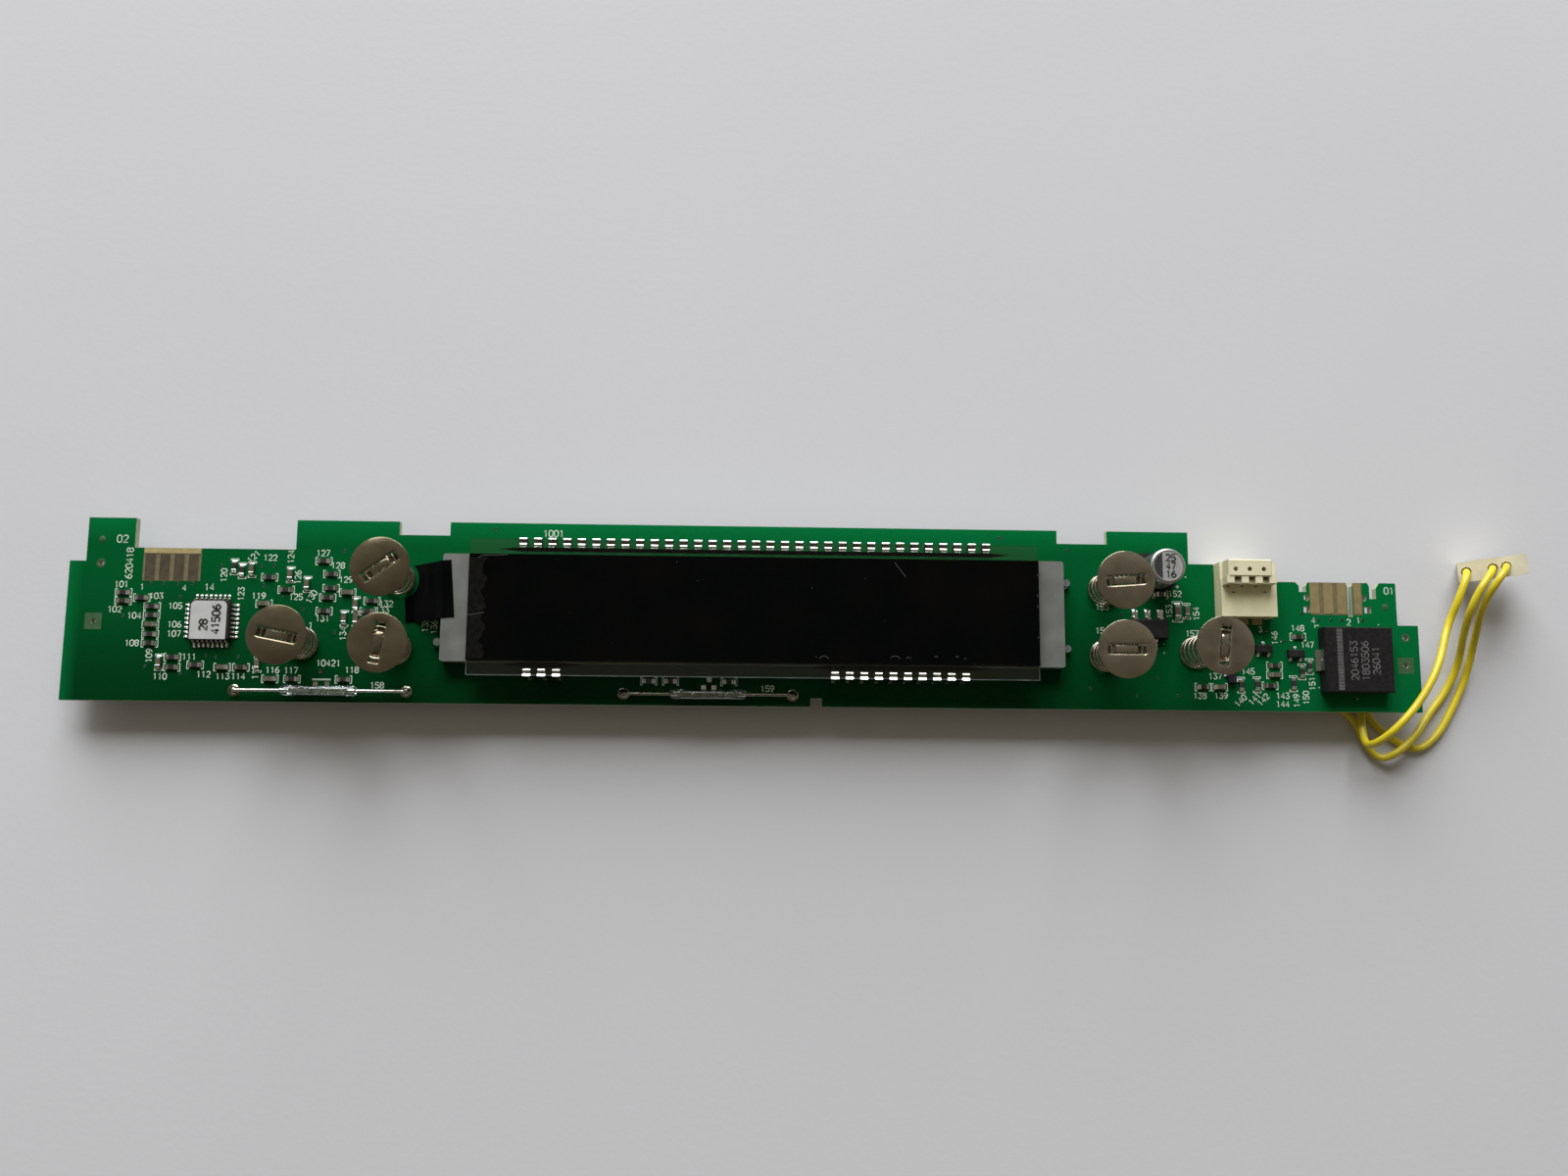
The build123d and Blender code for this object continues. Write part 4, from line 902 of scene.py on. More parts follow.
@dataclass
class Studio:
    """Pale floor, one wide soft lamp behind the board, dim room light, and the camera above."""

    eye: Point = (-3.10, -29.83, 248.30)
    tilt: Point = (-0.142996867, 0.0347326071, -0.0124524742)
    lens: float = 31.489
    film_width: float = 36.0
    clip: Flat = (0.01, 20.0)
    lamp_place: Point = (-260.0, 1800.0, 1000.0)
    lamp_size: float = 1.7
    lamp_power: float = 84.0
    lamp_colour: Colour = (0.94, 0.965, 1.0)
    horizon: Colour = (0.52, 0.505, 0.475)
    zenith: Colour = (0.15, 0.135, 0.11)
    dim_side: Colour = (0.12, 0.102, 0.064)
    climb: Flat = (0.15, 0.95)
    depth: Flat = (-0.7, 0.5)
    floor_span: float = 6000.0
    floor_depth: float = 20.0

    def aim_camera(self) -> None:
        """Sets the camera over the board, nearly straight down."""
        camera = bpy.data.cameras.new("camera")
        camera.lens, camera.sensor_width = self.lens, self.film_width
        camera.clip_start, camera.clip_end = self.clip
        turn_x, turn_y, turn_z = (Matrix.Rotation(angle, 3, axis)
                                  for angle, axis in zip(self.tilt, "XYZ"))
        turn = turn_z @ turn_y @ turn_x
        holder = put("camera", camera)
        holder.matrix_world = Matrix.Translation(Vector(self.eye) * MM) @ turn.transposed().to_4x4()
        bpy.context.scene.camera = holder
        LOG.info("camera aimed")

    def lay_floor(self) -> None:
        """Lays the floor that the board stands on."""
        half = self.floor_span / 2
        shape = Shape().prism(rectangle(-half, half, -half, half), -self.floor_depth, 0.0)
        floor = put("floor", shape.mesh("floor"))
        floor.data.materials.append(Palette.floor.material())

    def hang_lamp(self) -> None:
        """Hangs the wide lamp behind the board."""
        lamp = bpy.data.lights.new("window_lamp", "AREA")
        lamp.shape, lamp.size = "SQUARE", self.lamp_size
        lamp.energy, lamp.color = self.lamp_power, self.lamp_colour
        place = Vector(self.lamp_place) * MM
        aim = place.to_track_quat("Z", "Y").to_matrix().to_4x4()
        put("window_lamp", lamp).matrix_world = Matrix.Translation(place) @ aim
        LOG.info("lamp hung")

    def light_room(self) -> None:
        """Lights the room: paler at the horizon than overhead, and dim in front of the board."""
        world = bpy.data.worlds.new("room")
        bpy.context.scene.world = world
        world.use_nodes = True
        nodes = Nodes(world.node_tree)
        where = nodes.add("ShaderNodeTexCoord").outputs["Generated"]
        parts = nodes.add("ShaderNodeSeparateXYZ", {0: where}).outputs
        room = nodes.blend(nodes.ramp(parts[2], *self.climb), self.horizon, self.zenith)
        shade = nodes.blend(nodes.ramp(parts[1], *self.depth), self.dim_side, room)
        background = nodes.add("ShaderNodeBackground", {"Color": shade})
        nodes.add("ShaderNodeOutputWorld", {"Surface": background.outputs[0]})
        bpy.context.scene.view_settings.view_transform = "Standard"
        LOG.info("room lit")


# --------------------------------------------------------------------------------------- wires


@dataclass
class Wires:
    """Three limp wires from the edge plug to the five-way plug."""

    diameter: float = 1.35
    lengths: tuple[float, ...] = (81.4, 89.3, 85.3)
    origin: Flat = (88.15, 0.5)
    start: Flat = (1.0, 1.5)
    plug: tuple[str, ...] = ("five_way_housing", "five_way_contacts")
    routes: tuple[tuple[Point, ...], ...] = (
        ((0.0, -3.5, 1.5), (5.05, -7.9, 0.75), (13.85, -11.3, 0.75), (19.75, -13.1, 0.95),
         (22.65, -15.9, 2.2), (22.15, -19.1, 2.9), (21.85, -22.6, 4.8), (22.85, -22.0, 8),
         (25.45, -19.3, 10.3), (29.75, -14.6, 10.4), (33.45, -8.5, 10.1), (37.15, -1.3, 6.2),
         (38.85, 4.4, 8.6), (40.77, 8.84, 8.25), (42.27, 9.25, 4.56)),
        ((-2.5, -4.1, 1.5), (2.85, -10.7, 0.75), (12.45, -14.1, 0.75), (18.65, -15.1, 0.75),
         (21.75, -17.5, 0.75), (23.65, -22.3, 0.75), (26.05, -25.05, 1.2), (28.85, -23.6, 2.9),
         (32.45, -20.3, 2.7), (35.25, -16.9, 1.1), (39.05, -12.7, 0.75), (41.45, -7.5, 1.6),
         (40.35, -1.5, 6.4), (40.55, 4.0, 10.6), (44.8, 9.31, 9.94), (46.3, 9.73, 6.26)),
        ((2.5, -3.1, 1.5), (7.15, -5.5, 0.75), (16.35, -8.9, 0.75), (22.05, -12.9, 0.75),
         (25.05, -18.2, 0.75), (29.05, -21.5, 0.75), (33.25, -23.4, 0.75), (37.25, -20.5, 0.75),
         (40.45, -15.1, 0.75), (43.05, -9.8, 0.9), (43.75, -3.1, 3.4), (42.55, 2.8, 9.1),
         (44.05, 6.8, 12.2), (46.82, 9.54, 10.79), (48.32, 9.96, 7.11)))

    def lay(self) -> None:
        """Lays each wire along its route, as one smooth line."""
        for number, (route, length) in enumerate(zip(self.routes, self.lengths), start=1):
            points = [tuple(c * MM for c in (self.origin[0] + x, self.origin[1] + y, z))
                      for x, y, z in ((route[0][0], *self.start), *route)]
            curve = bpy.data.curves.new(f"yellow_wire_{number}", "CURVE")
            curve.dimensions = "3D"
            curve.bevel_depth = self.diameter / 2 * MM
            curve.bevel_resolution = 5
            curve.resolution_u = 10
            curve.use_fill_caps = True
            spline = curve.splines.new("NURBS")
            spline.points.add(len(points) - 1)
            for point, place in zip(spline.points, points):
                point.co = (*place, 1.0)
            spline.order_u = 3
            spline.use_endpoint_u = True
            wire = settle(put(curve.name, curve), Palette.yellow, [f"wire_{number}"])


@dataclass
class Plugs:
    """The cream plug on the board's edge, and the five-way plug on the wires."""

    teeth: tuple[float, ...] = (83.35, 85.93, 88.4, 90.9)
    tooth: tuple[float, float, float] = (1.32, 6.0, 7.4)
    tooth_levels: Flat = (9.55, 12.35)
    bevel: float = 0.1
    step: Flat = (0.85, 1.9)
    marks: tuple[Flat, ...] = ((85.36, 4.81), (91.03, 4.88))
    mark: Flat = (0.3, 0.1)
    mark_levels: Flat = (9.595, 9.604)

    def finish(self, bench: Bench) -> None:
        """Makes the cover's teeth and the marks, and dresses both plugs and their contacts.

        Args:
            bench: the shared node tools.
        """
        width, front, back = self.tooth
        low, high = self.tooth_levels
        b = self.bevel
        teeth = Shape()
        for x in self.teeth:
            side = rectangle(x, x + width, front, back)
            top = rectangle(x + b, x + width - b, front + b, back)
            teeth.stack((side, low), (side, high - b), (top, high))
        for x, following in zip(self.teeth, self.teeth[1:]):
            step = rectangle(x + width, following, front + b, front + self.step[0])
            teeth.prism(step, low, low + self.step[1])
        solid("cover_teeth", teeth, Palette.ivory_cover)
        marks, (long, wide) = Shape(), self.mark
        for x, y in self.marks:
            marks.prism(rectangle(x - long, x + long, y - wide, y + wide), *self.mark_levels)
        solid("housing_marks", marks, Palette.flux)
        dress({"edge_plug_housing": Palette.ivory, "edge_plug_cover": Palette.ivory_cover,
               "edge_plug_contacts": Palette.tinned, "five_way_housing": Palette.cream,
               "five_way_contacts": Palette.tinned})


# ---------------------------------------------------------------------------------- bare board

RESISTORS: list[Place] = [
    (-110.4, 2.8, 0), (-110.4, 1.3, 0), (-107.2, 1.9, 0), (-105.3, .4, 0), (-105.3, -1.15, 0),
    (-105.3, -4.5, 0), (-105.3, -6.1, 0), (-101.2, -8.5, 0), (-101.2, -10.25, 0), (-97.2, -9.8, 0),
    (-89.3, -10.15, 0), (-80.4, -12.1, 0), (-71.5, -12.1, 0), (-91.5, 7.6, 90), (-90.1, 6.9, 90),
    (-85.3, 5.8, 0), (-82.3, 3.6, 0), (-76.0, 8.8, 0), (-74.5, 6.5, 0), (-74.5, 4.0, 0),
    (-75.0, 2.3, 0), (-75.5, -.1, 0), (-67.25, 1.8, 0), (-67.9, -.05, 0), (-18.3, -11.85, 0),
    (-14.5, -11.85, 0), (-4.2, -11.85, 0), (80.4, -11.9, 0), (87.3, -11.5, 90), (90.2, -11.4, 90),
    (92.55, -11.55, 0), (93.5, -7.95, 0), (98.0, -2.7, 0), (99.85, -8.05, 90), (98.45, -9.0, 90),
    (96.8, -11.15, 90)]
CAPACITORS: list[Place] = [
    (-105.4, -2.8, 0), (-103.45, -9.4, 90), (-92.55, -10.15, 0), (-86.45, -9.55, 90),
    (-84.2, -12.1, 0), (-86.0, 1.1, 0), (-88.4, 7.15, 90), (-81.65, 6.3, 90), (-78.65, 4.6, 90),
    (-71.55, 3.25, 0), (-70.0, 1.1, 90), (-71.9, -1.35, 90), (-69.85, -1.4, 90), (73.2, 4.65, 0),
    (77.9, 1.7, 90), (83.4, -11.9, 0), (93.45, -9.6, 0)]
LARGE_CAPACITORS: list[Place] = [(76.2, 1.6, 90)]


@dataclass
class Board:
    """The bare board: mask, contacts, printed marks, vias and pads."""

    ink: float = 0.02
    line: float = 0.17
    figure_height: float = 1.02
    bracket: tuple[float, float, float] = (1.42, 0.66, 0.35)
    large: float = 1.3
    dot: float = 0.12
    windows: tuple[tuple[float, ...], ...] = (
        (-107.4, -97.35, 4.96, 10.78), (100.75, 107.3, 1.35, 7.2), (108.4, 110.1, 1.35, 7.2))
    window_levels: Flat = (BOARD_TOP - 0.01, BOARD_TOP + 0.012)
    edge_strip: tuple[float, ...] = (-107.3, -97.5, 9.85, 10.78)
    strip_height: float = 0.075
    worn_contacts: tuple[float, ...] = (-106.15, -103.65, -101.15, -98.65)
    worn_half: float = 0.9
    worn_reach: Flat = (5.15, 9.83)
    worn_levels: Flat = (BOARD_TOP + 0.05, BOARD_TOP + 0.07)
    outline_marks: tuple[tuple[Flat, ...], ...] = (
        ((-76.9, -12.17), (-73.7, -12.17)), ((-76.9, -12.07), (-73.7, -12.07)),
        ((101.2, -1.0), (101.2, -0.6), (101.9, -0.6)))
    via: tuple[Flat, ...] = ((0.0, 0.012), (0.14, 0.012), (0.17, 0.03), (0.30, 0.03), (0.34, 0.0),
                             (0.0, 0.0))
    post_rings: tuple[Place, ...] = ((-114.7, 8.0, 0), (117.7, -2.7, 0))
    post_pads: tuple[Place, ...] = ((-115.3, -2.3, 0), (117.5, -7.7, 0))
    aiming_spots: tuple[Place, ...] = ((-114.8, 12.24, 0), (114.27, 2.9, 0))
    post_hole: float = 0.52
    ring_rim: Flat = (0.8, 0.03)
    square_rim: Flat = (1.45, 0.02)
    spot_rim: Flat = (0.55, 0.02)
    spot_bevel: float = 0.03
    spare_pad: Flat = (0.42, 0.05)
    spare_pads: tuple[Place, ...] = (
        (-75.37, -10.71, 0), (-76.3, -12.95, 0), (-74.27, -12.93, 0), (-8.66, -12.9, 0),
        (-6.84, -12.9, 0), (-7.68, -11.5, 0))
    label_places: tuple[Place, ...] = (
        (-110.89, 4.26, 0), (-111.74, -.17, 0), (-104.74, 2.26, 0), (-108.28, -1.25, 0),
        (-101.32, .56, 0), (-101.26, -2.72, 0), (-101.23, -4.36, 0), (-108.35, -6.07, 0),
        (-105.25, -8.27, 90), (-103.14, -11.84, 0), (-98.34, -8.36, 0), (-95.67, -11.42, 0),
        (-92.38, -11.73, 0), (-89.69, -11.7, 0), (-86.78, -10.98, 90), (-83.85, -10.54, 0),
        (-80.64, -10.58, 0), (-70.14, -10.4, 0), (-87.01, 2.48, 0), (-93.28, 6.06, 90),
        (-88.29, 9.45, 45), (-85.38, 9.31, 0), (-90.09, 2.78, 90), (-81.8, 9.53, 90),
        (-80.53, 2.38, 0), (-80.39, 5.87, 90), (-76.19, 10.24, 0), (-73.5, 8.06, 0),
        (-71.99, 5.54, 0), (-77.81, 2.41, 60), (-75.72, -1.38, 0), (-64.76, 1.35, 0),
        (-65.39, .2, 0), (-72.0, -4.03, 90), (-57.75, -2.39, 90), (-56.19, -2.72, 90),
        (82.69, -9.94, 0), (79.81, -13.47, 0), (83.61, -13.43, 0), (87.12, -14.27, 45),
        (89.62, -13.9, 45), (91.21, -14.06, 45), (94.79, -13.32, 0), (94.72, -14.81, 0),
        (88.67, -9.0, 0), (93.74, -2.94, 90), (99.67, -4.12, 0), (98.02, -1.12, 0),
        (97.24, -14.17, 90), (98.99, -13.63, 90), (100.23, -11.09, 90), (75.88, 4.85, 0),
        (74.72, 1.63, 90), (79.63, 1.28, 90), (62.6, 2.3, 0), (62.49, -1.97, 0), (78.79, -2.3, 0),
        (-65.65, -13.06, 0), (2.59, -12.97, 0))
    named_places: tuple[tuple[str, float, float, float, float], ...] = (
        ("4", 100.96, .34, 0, 1.0), ("2", 107.4, .06, 0, 1.1), ("1", 109.2, .43, 0, 1.0),
        ("01", 115.1, 5.87, 0, 1.2), ("02", -111.26, 12.34, 0, 1.3),
        ("620418", -109.8, 8.0, 90, 1.15), ("1", -107.3, 3.84, 0, 1.0), ("4", -100.0, 3.76, 0, 1.0),
        ("14", -95.66, 3.95, 0, 1.1), ("3", 91.21, -1.45, 0, .9), ("+", 76.37, 6.12, 0, 1.0),
        ("1", -77.7, -2.62, 0, 1.0), ("1001", -35.78, 14.31, 0, 1.15),
        ("10421", -74.27, -9.24, 0, 1.05))
    dots: tuple[Flat, ...] = (
        (92.32, -1.81), (94.87, -3.58), (101.42, -11.78), (77.92, 7.91), (73.6, -4.28),
        (73.6, -5.88), (112.85, -.34), (108.36, -13.77))
    via_places: tuple[Flat, ...] = (
        (-100.61, 2.05), (-103.93, 1.57), (-110.3, -1.4), (-105.87, -10.16), (-99.69, -11.37),
        (-95.49, -8.12), (-93.79, -8.32), (-89.98, -8.36), (-82.8, 2.53), (-79.17, .14),
        (-73.5, -3.87), (-86.83, 7.8), (-84.69, 7.83), (-86.32, 4.31), (-93.77, 7.71),
        (-98.3, -10.08), (-72.56, 10.62), (-105.9, 4.45), (-103.7, 4.45), (-101.15, 4.45),
        (-98.65, 4.45), (66.24, 1.03), (68.5, -13.66), (72.33, -10.43), (75.9, -13.52),
        (80.19, -13.58), (84.19, -1.69), (98.93, 1.56), (101.9, .38), (104.3, .38), (106.15, .38),
        (110.05, .38), (95.4, -3.63), (92.27, -1.72), (-65.9, -8.9), (-70.2, 6.8), (60.1, -12.4),
        (56.5, 12.4), (-46.0, 14.9), (44.2, 14.6))

    def finish(self, bench: Bench) -> None:
        """Dresses the board and lays its contacts, marks, vias and pads.

        Args:
            bench: the shared node tools.
        """
        dress({"circuit_board": Palette.mask, "edge_pads": Palette.gold})
        self.bare_areas()
        bench.printer.run("printed_marks", self.marks(), self.line, self.ink, Palette.print_ink)
        self.pads(bench.repeater)

    def bare_areas(self) -> None:
        """Lays the bare laminate round the contacts, the bevelled edge and the dull contacts."""
        patches, dull = Shape(), Shape()
        for window in self.windows:
            patches.prism(rectangle(*window), *self.window_levels)
        solid("laminate_windows", patches, Palette.dark_laminate)
        strip = Shape().prism(rectangle(*self.edge_strip), BOARD_TOP, BOARD_TOP + self.strip_height)
        solid("laminate_edge", strip, Palette.laminate)
        for x in self.worn_contacts:
            contact = rectangle(x - self.worn_half, x + self.worn_half, *self.worn_reach)
            dull.prism(contact, *self.worn_levels)
        solid("worn_contacts", dull, Palette.flash_gold)

    def marks(self) -> list[list[Point]]:
        """Draws every printed mark: part numbers, brackets round the chips and outlines.

        Returns:
            One path for each stroke, lying on the board.
        """
        level = BOARD_TOP + self.ink / 2
        paths: list[list[Point]] = []
        for number, (x, y, turn) in enumerate(self.label_places, start=101):
            paths += figures(str(number), (x, y, level), self.figure_height, turn)
        for text, x, y, turn, height in self.named_places:
            paths += figures(text, (x, y, level), height, turn)
        for places, grow in ((RESISTORS, 1.0), (CAPACITORS, 1.0), (LARGE_CAPACITORS, self.large)):
            for place in places:
                paths += self.brackets(place, grow, level)
        strokes = [((x - self.dot, y), (x + self.dot, y)) for x, y in self.dots]
        return paths + lift((*strokes, *self.outline_marks), level)

    def brackets(self, place: Place, grow: float, level: float) -> list[list[Point]]:
        """Draws the two square brackets that stand round a chip.

        Args:
            place: the chip's middle and its turn in degrees.
            grow: how much larger than the common size the chip is.
            level: the height of the print.

        Returns:
            The two paths.
        """
        x, y, turn = place
        spin = Matrix.Rotation(math.radians(turn), 3, "Z")
        long, wide, lip = self.bracket[0] * grow, self.bracket[1] * grow, self.bracket[2]
        corners = [(long - lip, wide), (long, wide), (long, -wide), (long - lip, -wide)]
        return [[tuple(spin @ Vector((side * cx, cy, 0)) + Vector((x, y, level)))
                 for cx, cy in corners] for side in (-1, 1)]

    def pads(self, repeater: Repeater) -> None:
        """Stands the vias, and the round and square pads of the posts and spare footprints.

        Args:
            repeater: stands small parts on many places.
        """
        radius, thick = self.ring_rim
        hole = self.post_hole
        ring = Shape().turned([(hole, 0), (hole, thick), (radius, thick), (radius, 0)], closed=True)
        half, thin = self.square_rim
        angles = fan(24, math.pi / 4, FULL)
        inner = [(hole * math.cos(a), hole * math.sin(a)) for a in angles]
        outer = [self.square_point(a, half) for a in angles]
        square = Shape().stack((inner, 0), (inner, thin), (outer, thin), (outer, 0), closed=True)
        radius, thin = self.spot_rim
        foot = radius + self.spot_bevel
        spot = Shape().turned([(0, thin), (radius, thin), (foot, 0), (0, 0)], steps=20)
        half, thick = self.spare_pad
        spare = Shape().prism(rectangle(-half, half, -half, half), 0, thick)
        vias = [(x, y, 0.0) for x, y in self.via_places]
        for name, part, places, finish in (
                ("masked_vias", Shape().turned(self.via, steps=12), vias, Palette.via),
                ("post_rings", ring, self.post_rings, Palette.dull_pad),
                ("post_pads", square, self.post_pads, Palette.dull_pad),
                ("aiming_spots", spot, self.aiming_spots, Palette.dull_pad),
                ("spare_pads", spare, self.spare_pads, Palette.solder)):
            repeater.stand(name, part, places, BOARD_TOP, finish)

    @staticmethod
    def square_point(angle: float, half: float) -> Flat:
        """Returns the point of a square's side that lies in a direction."""
        reach = half / max(abs(math.cos(angle)), abs(math.sin(angle)))
        return reach * math.cos(angle), reach * math.sin(angle)


# ------------------------------------------------------------------------------------- display


@dataclass
class Display:
    """Segment display: backlight, two glass plates between films, and rows of clip-on pins."""

    middle: float = 0.275
    glass_floor: float = 9.6
    glass_back: float = 12.45
    glass_front: float = -11.35
    pitch: float = 2.54
    back_count: int = 33
    front_grid: int = 32
    front_slots: tuple[int, ...] = (0, 1, 2, *range(21, 31))
    leg_shift: float = 0.145
    film_top: float = 11.6
    film_left: float = -49.4
    film_front: float = -8.6
    film_back: float = 9.0
    plate_top: float = 10.7
    ends: Flat = (-49.5, 50.05)
    ledge_back: float = -8.9
    pin_half: float = 0.66
    finger_half: float = 0.6
    leg: tuple[float, ...] = (-0.25, 0.25, 0.02, 0.27)
    leg_levels: Flat = (-0.27, -5.0)
    crowns: tuple[tuple[Flat, ...], ...] = (
        ((.22, 1.27), (.12, 1.35), (.0, 1.37), (-.1, 1.35), (-.16, 1.26), (-.18, 1.14)),
        ((.25, 1.27), (.2, 1.36), (.12, 1.38), (-.12, 1.27), (-.34, 1.16), (-.36, 1.13)))
    clip_front: tuple[Flat, ...] = ((.27, -.27), (.27, 1.12))
    clip_back: tuple[Flat, ...] = ((.02, 1.12), (.02, -.02), (-1.2, -.02), (-1.2, -.27))
    finger_shift: float = 0.2
    finger: tuple[Flat, ...] = ((-.72, 1.12), (-.75, 1.26), (-.84, 1.34), (-.98, 1.37),
                                (-1.14, 1.34), (-1.28, 1.24), (-1.4, 1.12))
    flux_half: float = 0.62
    flux: tuple[Flat, ...] = ((-.15, 1.11), (-.15, 1.2), (-.74, 1.2), (-.74, 1.11))
    fibre: tuple[Flat, ...] = ((-49.3, -1.1), (-48.2, -.95), (-46.6, -.63))
    # The second line is a painted glint: a reflection line on the film's top left, drawn like a
    # rubbed mark.
    rubs: tuple[tuple[Flat, ...], ...] = (
        ((24.6, 9.0), (25.3, 8.1), (26.5, 6.5)),
        ((-48.0, 8.9), (-47.2, 9.35), (-45.0, 9.42), (-42.9, 9.5)))
    bubbles: tuple[tuple[float, float, float], ...] = (
        (12.26, -8.05, .75), (24.65, -7.95, .8), (27.0, -7.9, .4), (31.8, -7.6, .25),
        (35.5, -7.55, .25), (36.9, -7.85, .15))
    nicks: tuple[float, ...] = (7.1, 3.5, 1.55, -4.0)
    nick_x: float = 49.75
    nick_half: float = 0.18
    arc_flatness: float = 0.6
    scuff: Flat = (0.07, 0.01)
    ground: Flat = (0.12, 0.02)
    ground_lift: float = 0.005
    loose: float = 2.6
    loose_inset: float = 0.08
    loose_levels: Flat = (-0.01, 0.003)
    waves: tuple[Flat, ...] = ((0.45, 1.1), (0.3, 2.7))
    wave_steps: int = 24

    def pins(self, front: bool) -> list[Place]:
        """Returns x, y and turn of each pin on the front or the back ledge.

        Args:
            front: whether the pins are the front ledge's.

        Returns:
            The places.
        """
        count = self.front_grid if front else self.back_count
        y, turn = (self.glass_front, 180.0) if front else (self.glass_back, 0.0)
        return [(self.middle + (i - (count - 1) / 2) * self.pitch, y, turn)
                for i in (self.front_slots if front else range(count))]

    def legs(self) -> list[Flat]:
        """Returns where every leg goes through the board."""
        return [(x, y - self.leg_shift if front else y + self.leg_shift)
                for front in (False, True) for x, y, _ in self.pins(front)]

    def pin(self, front: bool) -> Shape:
        """Draws one pin: two crowned bars on the glass, a dip between them, the clip and the leg.

        Args:
            front: whether the pin stands on the front ledge, where its outer bar slopes back.

        Returns:
            The pin, pointing towards +y.
        """
        clip = [*self.clip_front, *self.crowns[front], *self.clip_back]
        finger = [(y + self.finger_shift * front, z) for y, z in self.finger]
        shape = Shape().bar(clip, self.pin_half).bar(finger, self.finger_half)
        return shape.prism(rectangle(*self.leg), *self.leg_levels)

    def finish(self, bench: Bench) -> None:
        """Dresses the plates and films, and stands the pins.

        Args:
            bench: the shared node tools.
        """
        dress({"backlight": Palette.light_guide, "rear_polariser": Palette.rear_film,
               "lower_glass": Palette.glass, "upper_glass": Palette.glass,
               "front_polariser": Palette.front_film, "pin_resin": Palette.resin,
               "tape": Palette.tape})
        for side, front in (("back", False), ("front", True)):
            bench.repeater.stand(f"clip_pins_{side}", self.pin(front), self.pins(front),
                                 self.glass_floor, Palette.solder, [f"display_pins_{side}"])
        flux = Shape().bar(self.flux, self.flux_half)
        bench.repeater.stand("pin_flux", flux, self.pins(False), self.glass_floor, Palette.flux)
        self.scuffs(bench.printer)
        self.edges(bench.printer)
        self.bubble()

    def edges(self, printer: Runner) -> None:
        """Draws the ground edges of the front ledge.

        Args:
            printer: runs printed lines.
        """
        (left, right), front, back = self.ends, self.glass_front, self.ledge_back
        top = self.plate_top + self.ground_lift
        corners = [(left, back, top), (left, front, top), (right, front, top), (right, back, top)]
        edges = list(zip(corners, corners[1:]))
        printer.run("ground_edges", edges, *self.ground, Palette.ground_edge)

    def bubble(self) -> None:
        """Lays the paler strip at the film's left end, where its glue has come loose in waves."""
        reach = (self.film_back - self.film_front) / self.wave_steps
        wave = [(self.film_left + self.loose + sum(a * math.sin(i * f) for a, f in self.waves),
                 self.film_front + i * reach) for i in range(self.wave_steps + 1)]
        edge = self.film_left + self.loose_inset
        outline = [(edge, self.film_front), *wave, (edge, self.film_back)]
        levels = (self.film_top + z for z in self.loose_levels)
        solid("film_bubble", Shape().prism(outline, *levels), Palette.glue_film)

    def scuffs(self, printer: Runner) -> None:
        """Draws the fibre, the rubbed marks, the bubbles and nicks, and one painted glint (a
        reflection line at the top left) on the front film.

        Args:
            printer: runs printed lines.
        """
        arcs = [[(x + r * math.cos(a), y + self.arc_flatness * r * math.sin(a))
                 for a in fan(9, sweep=math.pi)] for x, y, r in self.bubbles]
        nicks = [((self.nick_x, y - self.nick_half), (self.nick_x, y + self.nick_half))
                 for y in self.nicks]
        paths = lift((self.fibre, *self.rubs, *arcs, *nicks), self.film_top + LIFT)
        printer.run("display_scuffs", paths, *self.scuff, Palette.scuff)


@dataclass
class UnderBoard:
    """The soldered side: a cone of solder on each leg that comes through."""

    legs: Sequence[Flat]
    profile: tuple[Flat, ...] = ((0, 0), (.85, 0), (.85, -.05), (.55, -.3), (.34, -.7),
                                 (.26, -1.15), (0, -1.2))

    def finish(self, bench: Bench) -> None:
        """Stands a cone under every leg."""
        bench.repeater.stand("leg_solder", Shape().turned(self.profile, steps=14),
                             [(x, y, 0) for x, y in self.legs], BOARD_UNDERSIDE, Palette.solder)


# ---------------------------------------------------------------------------------- touch keys


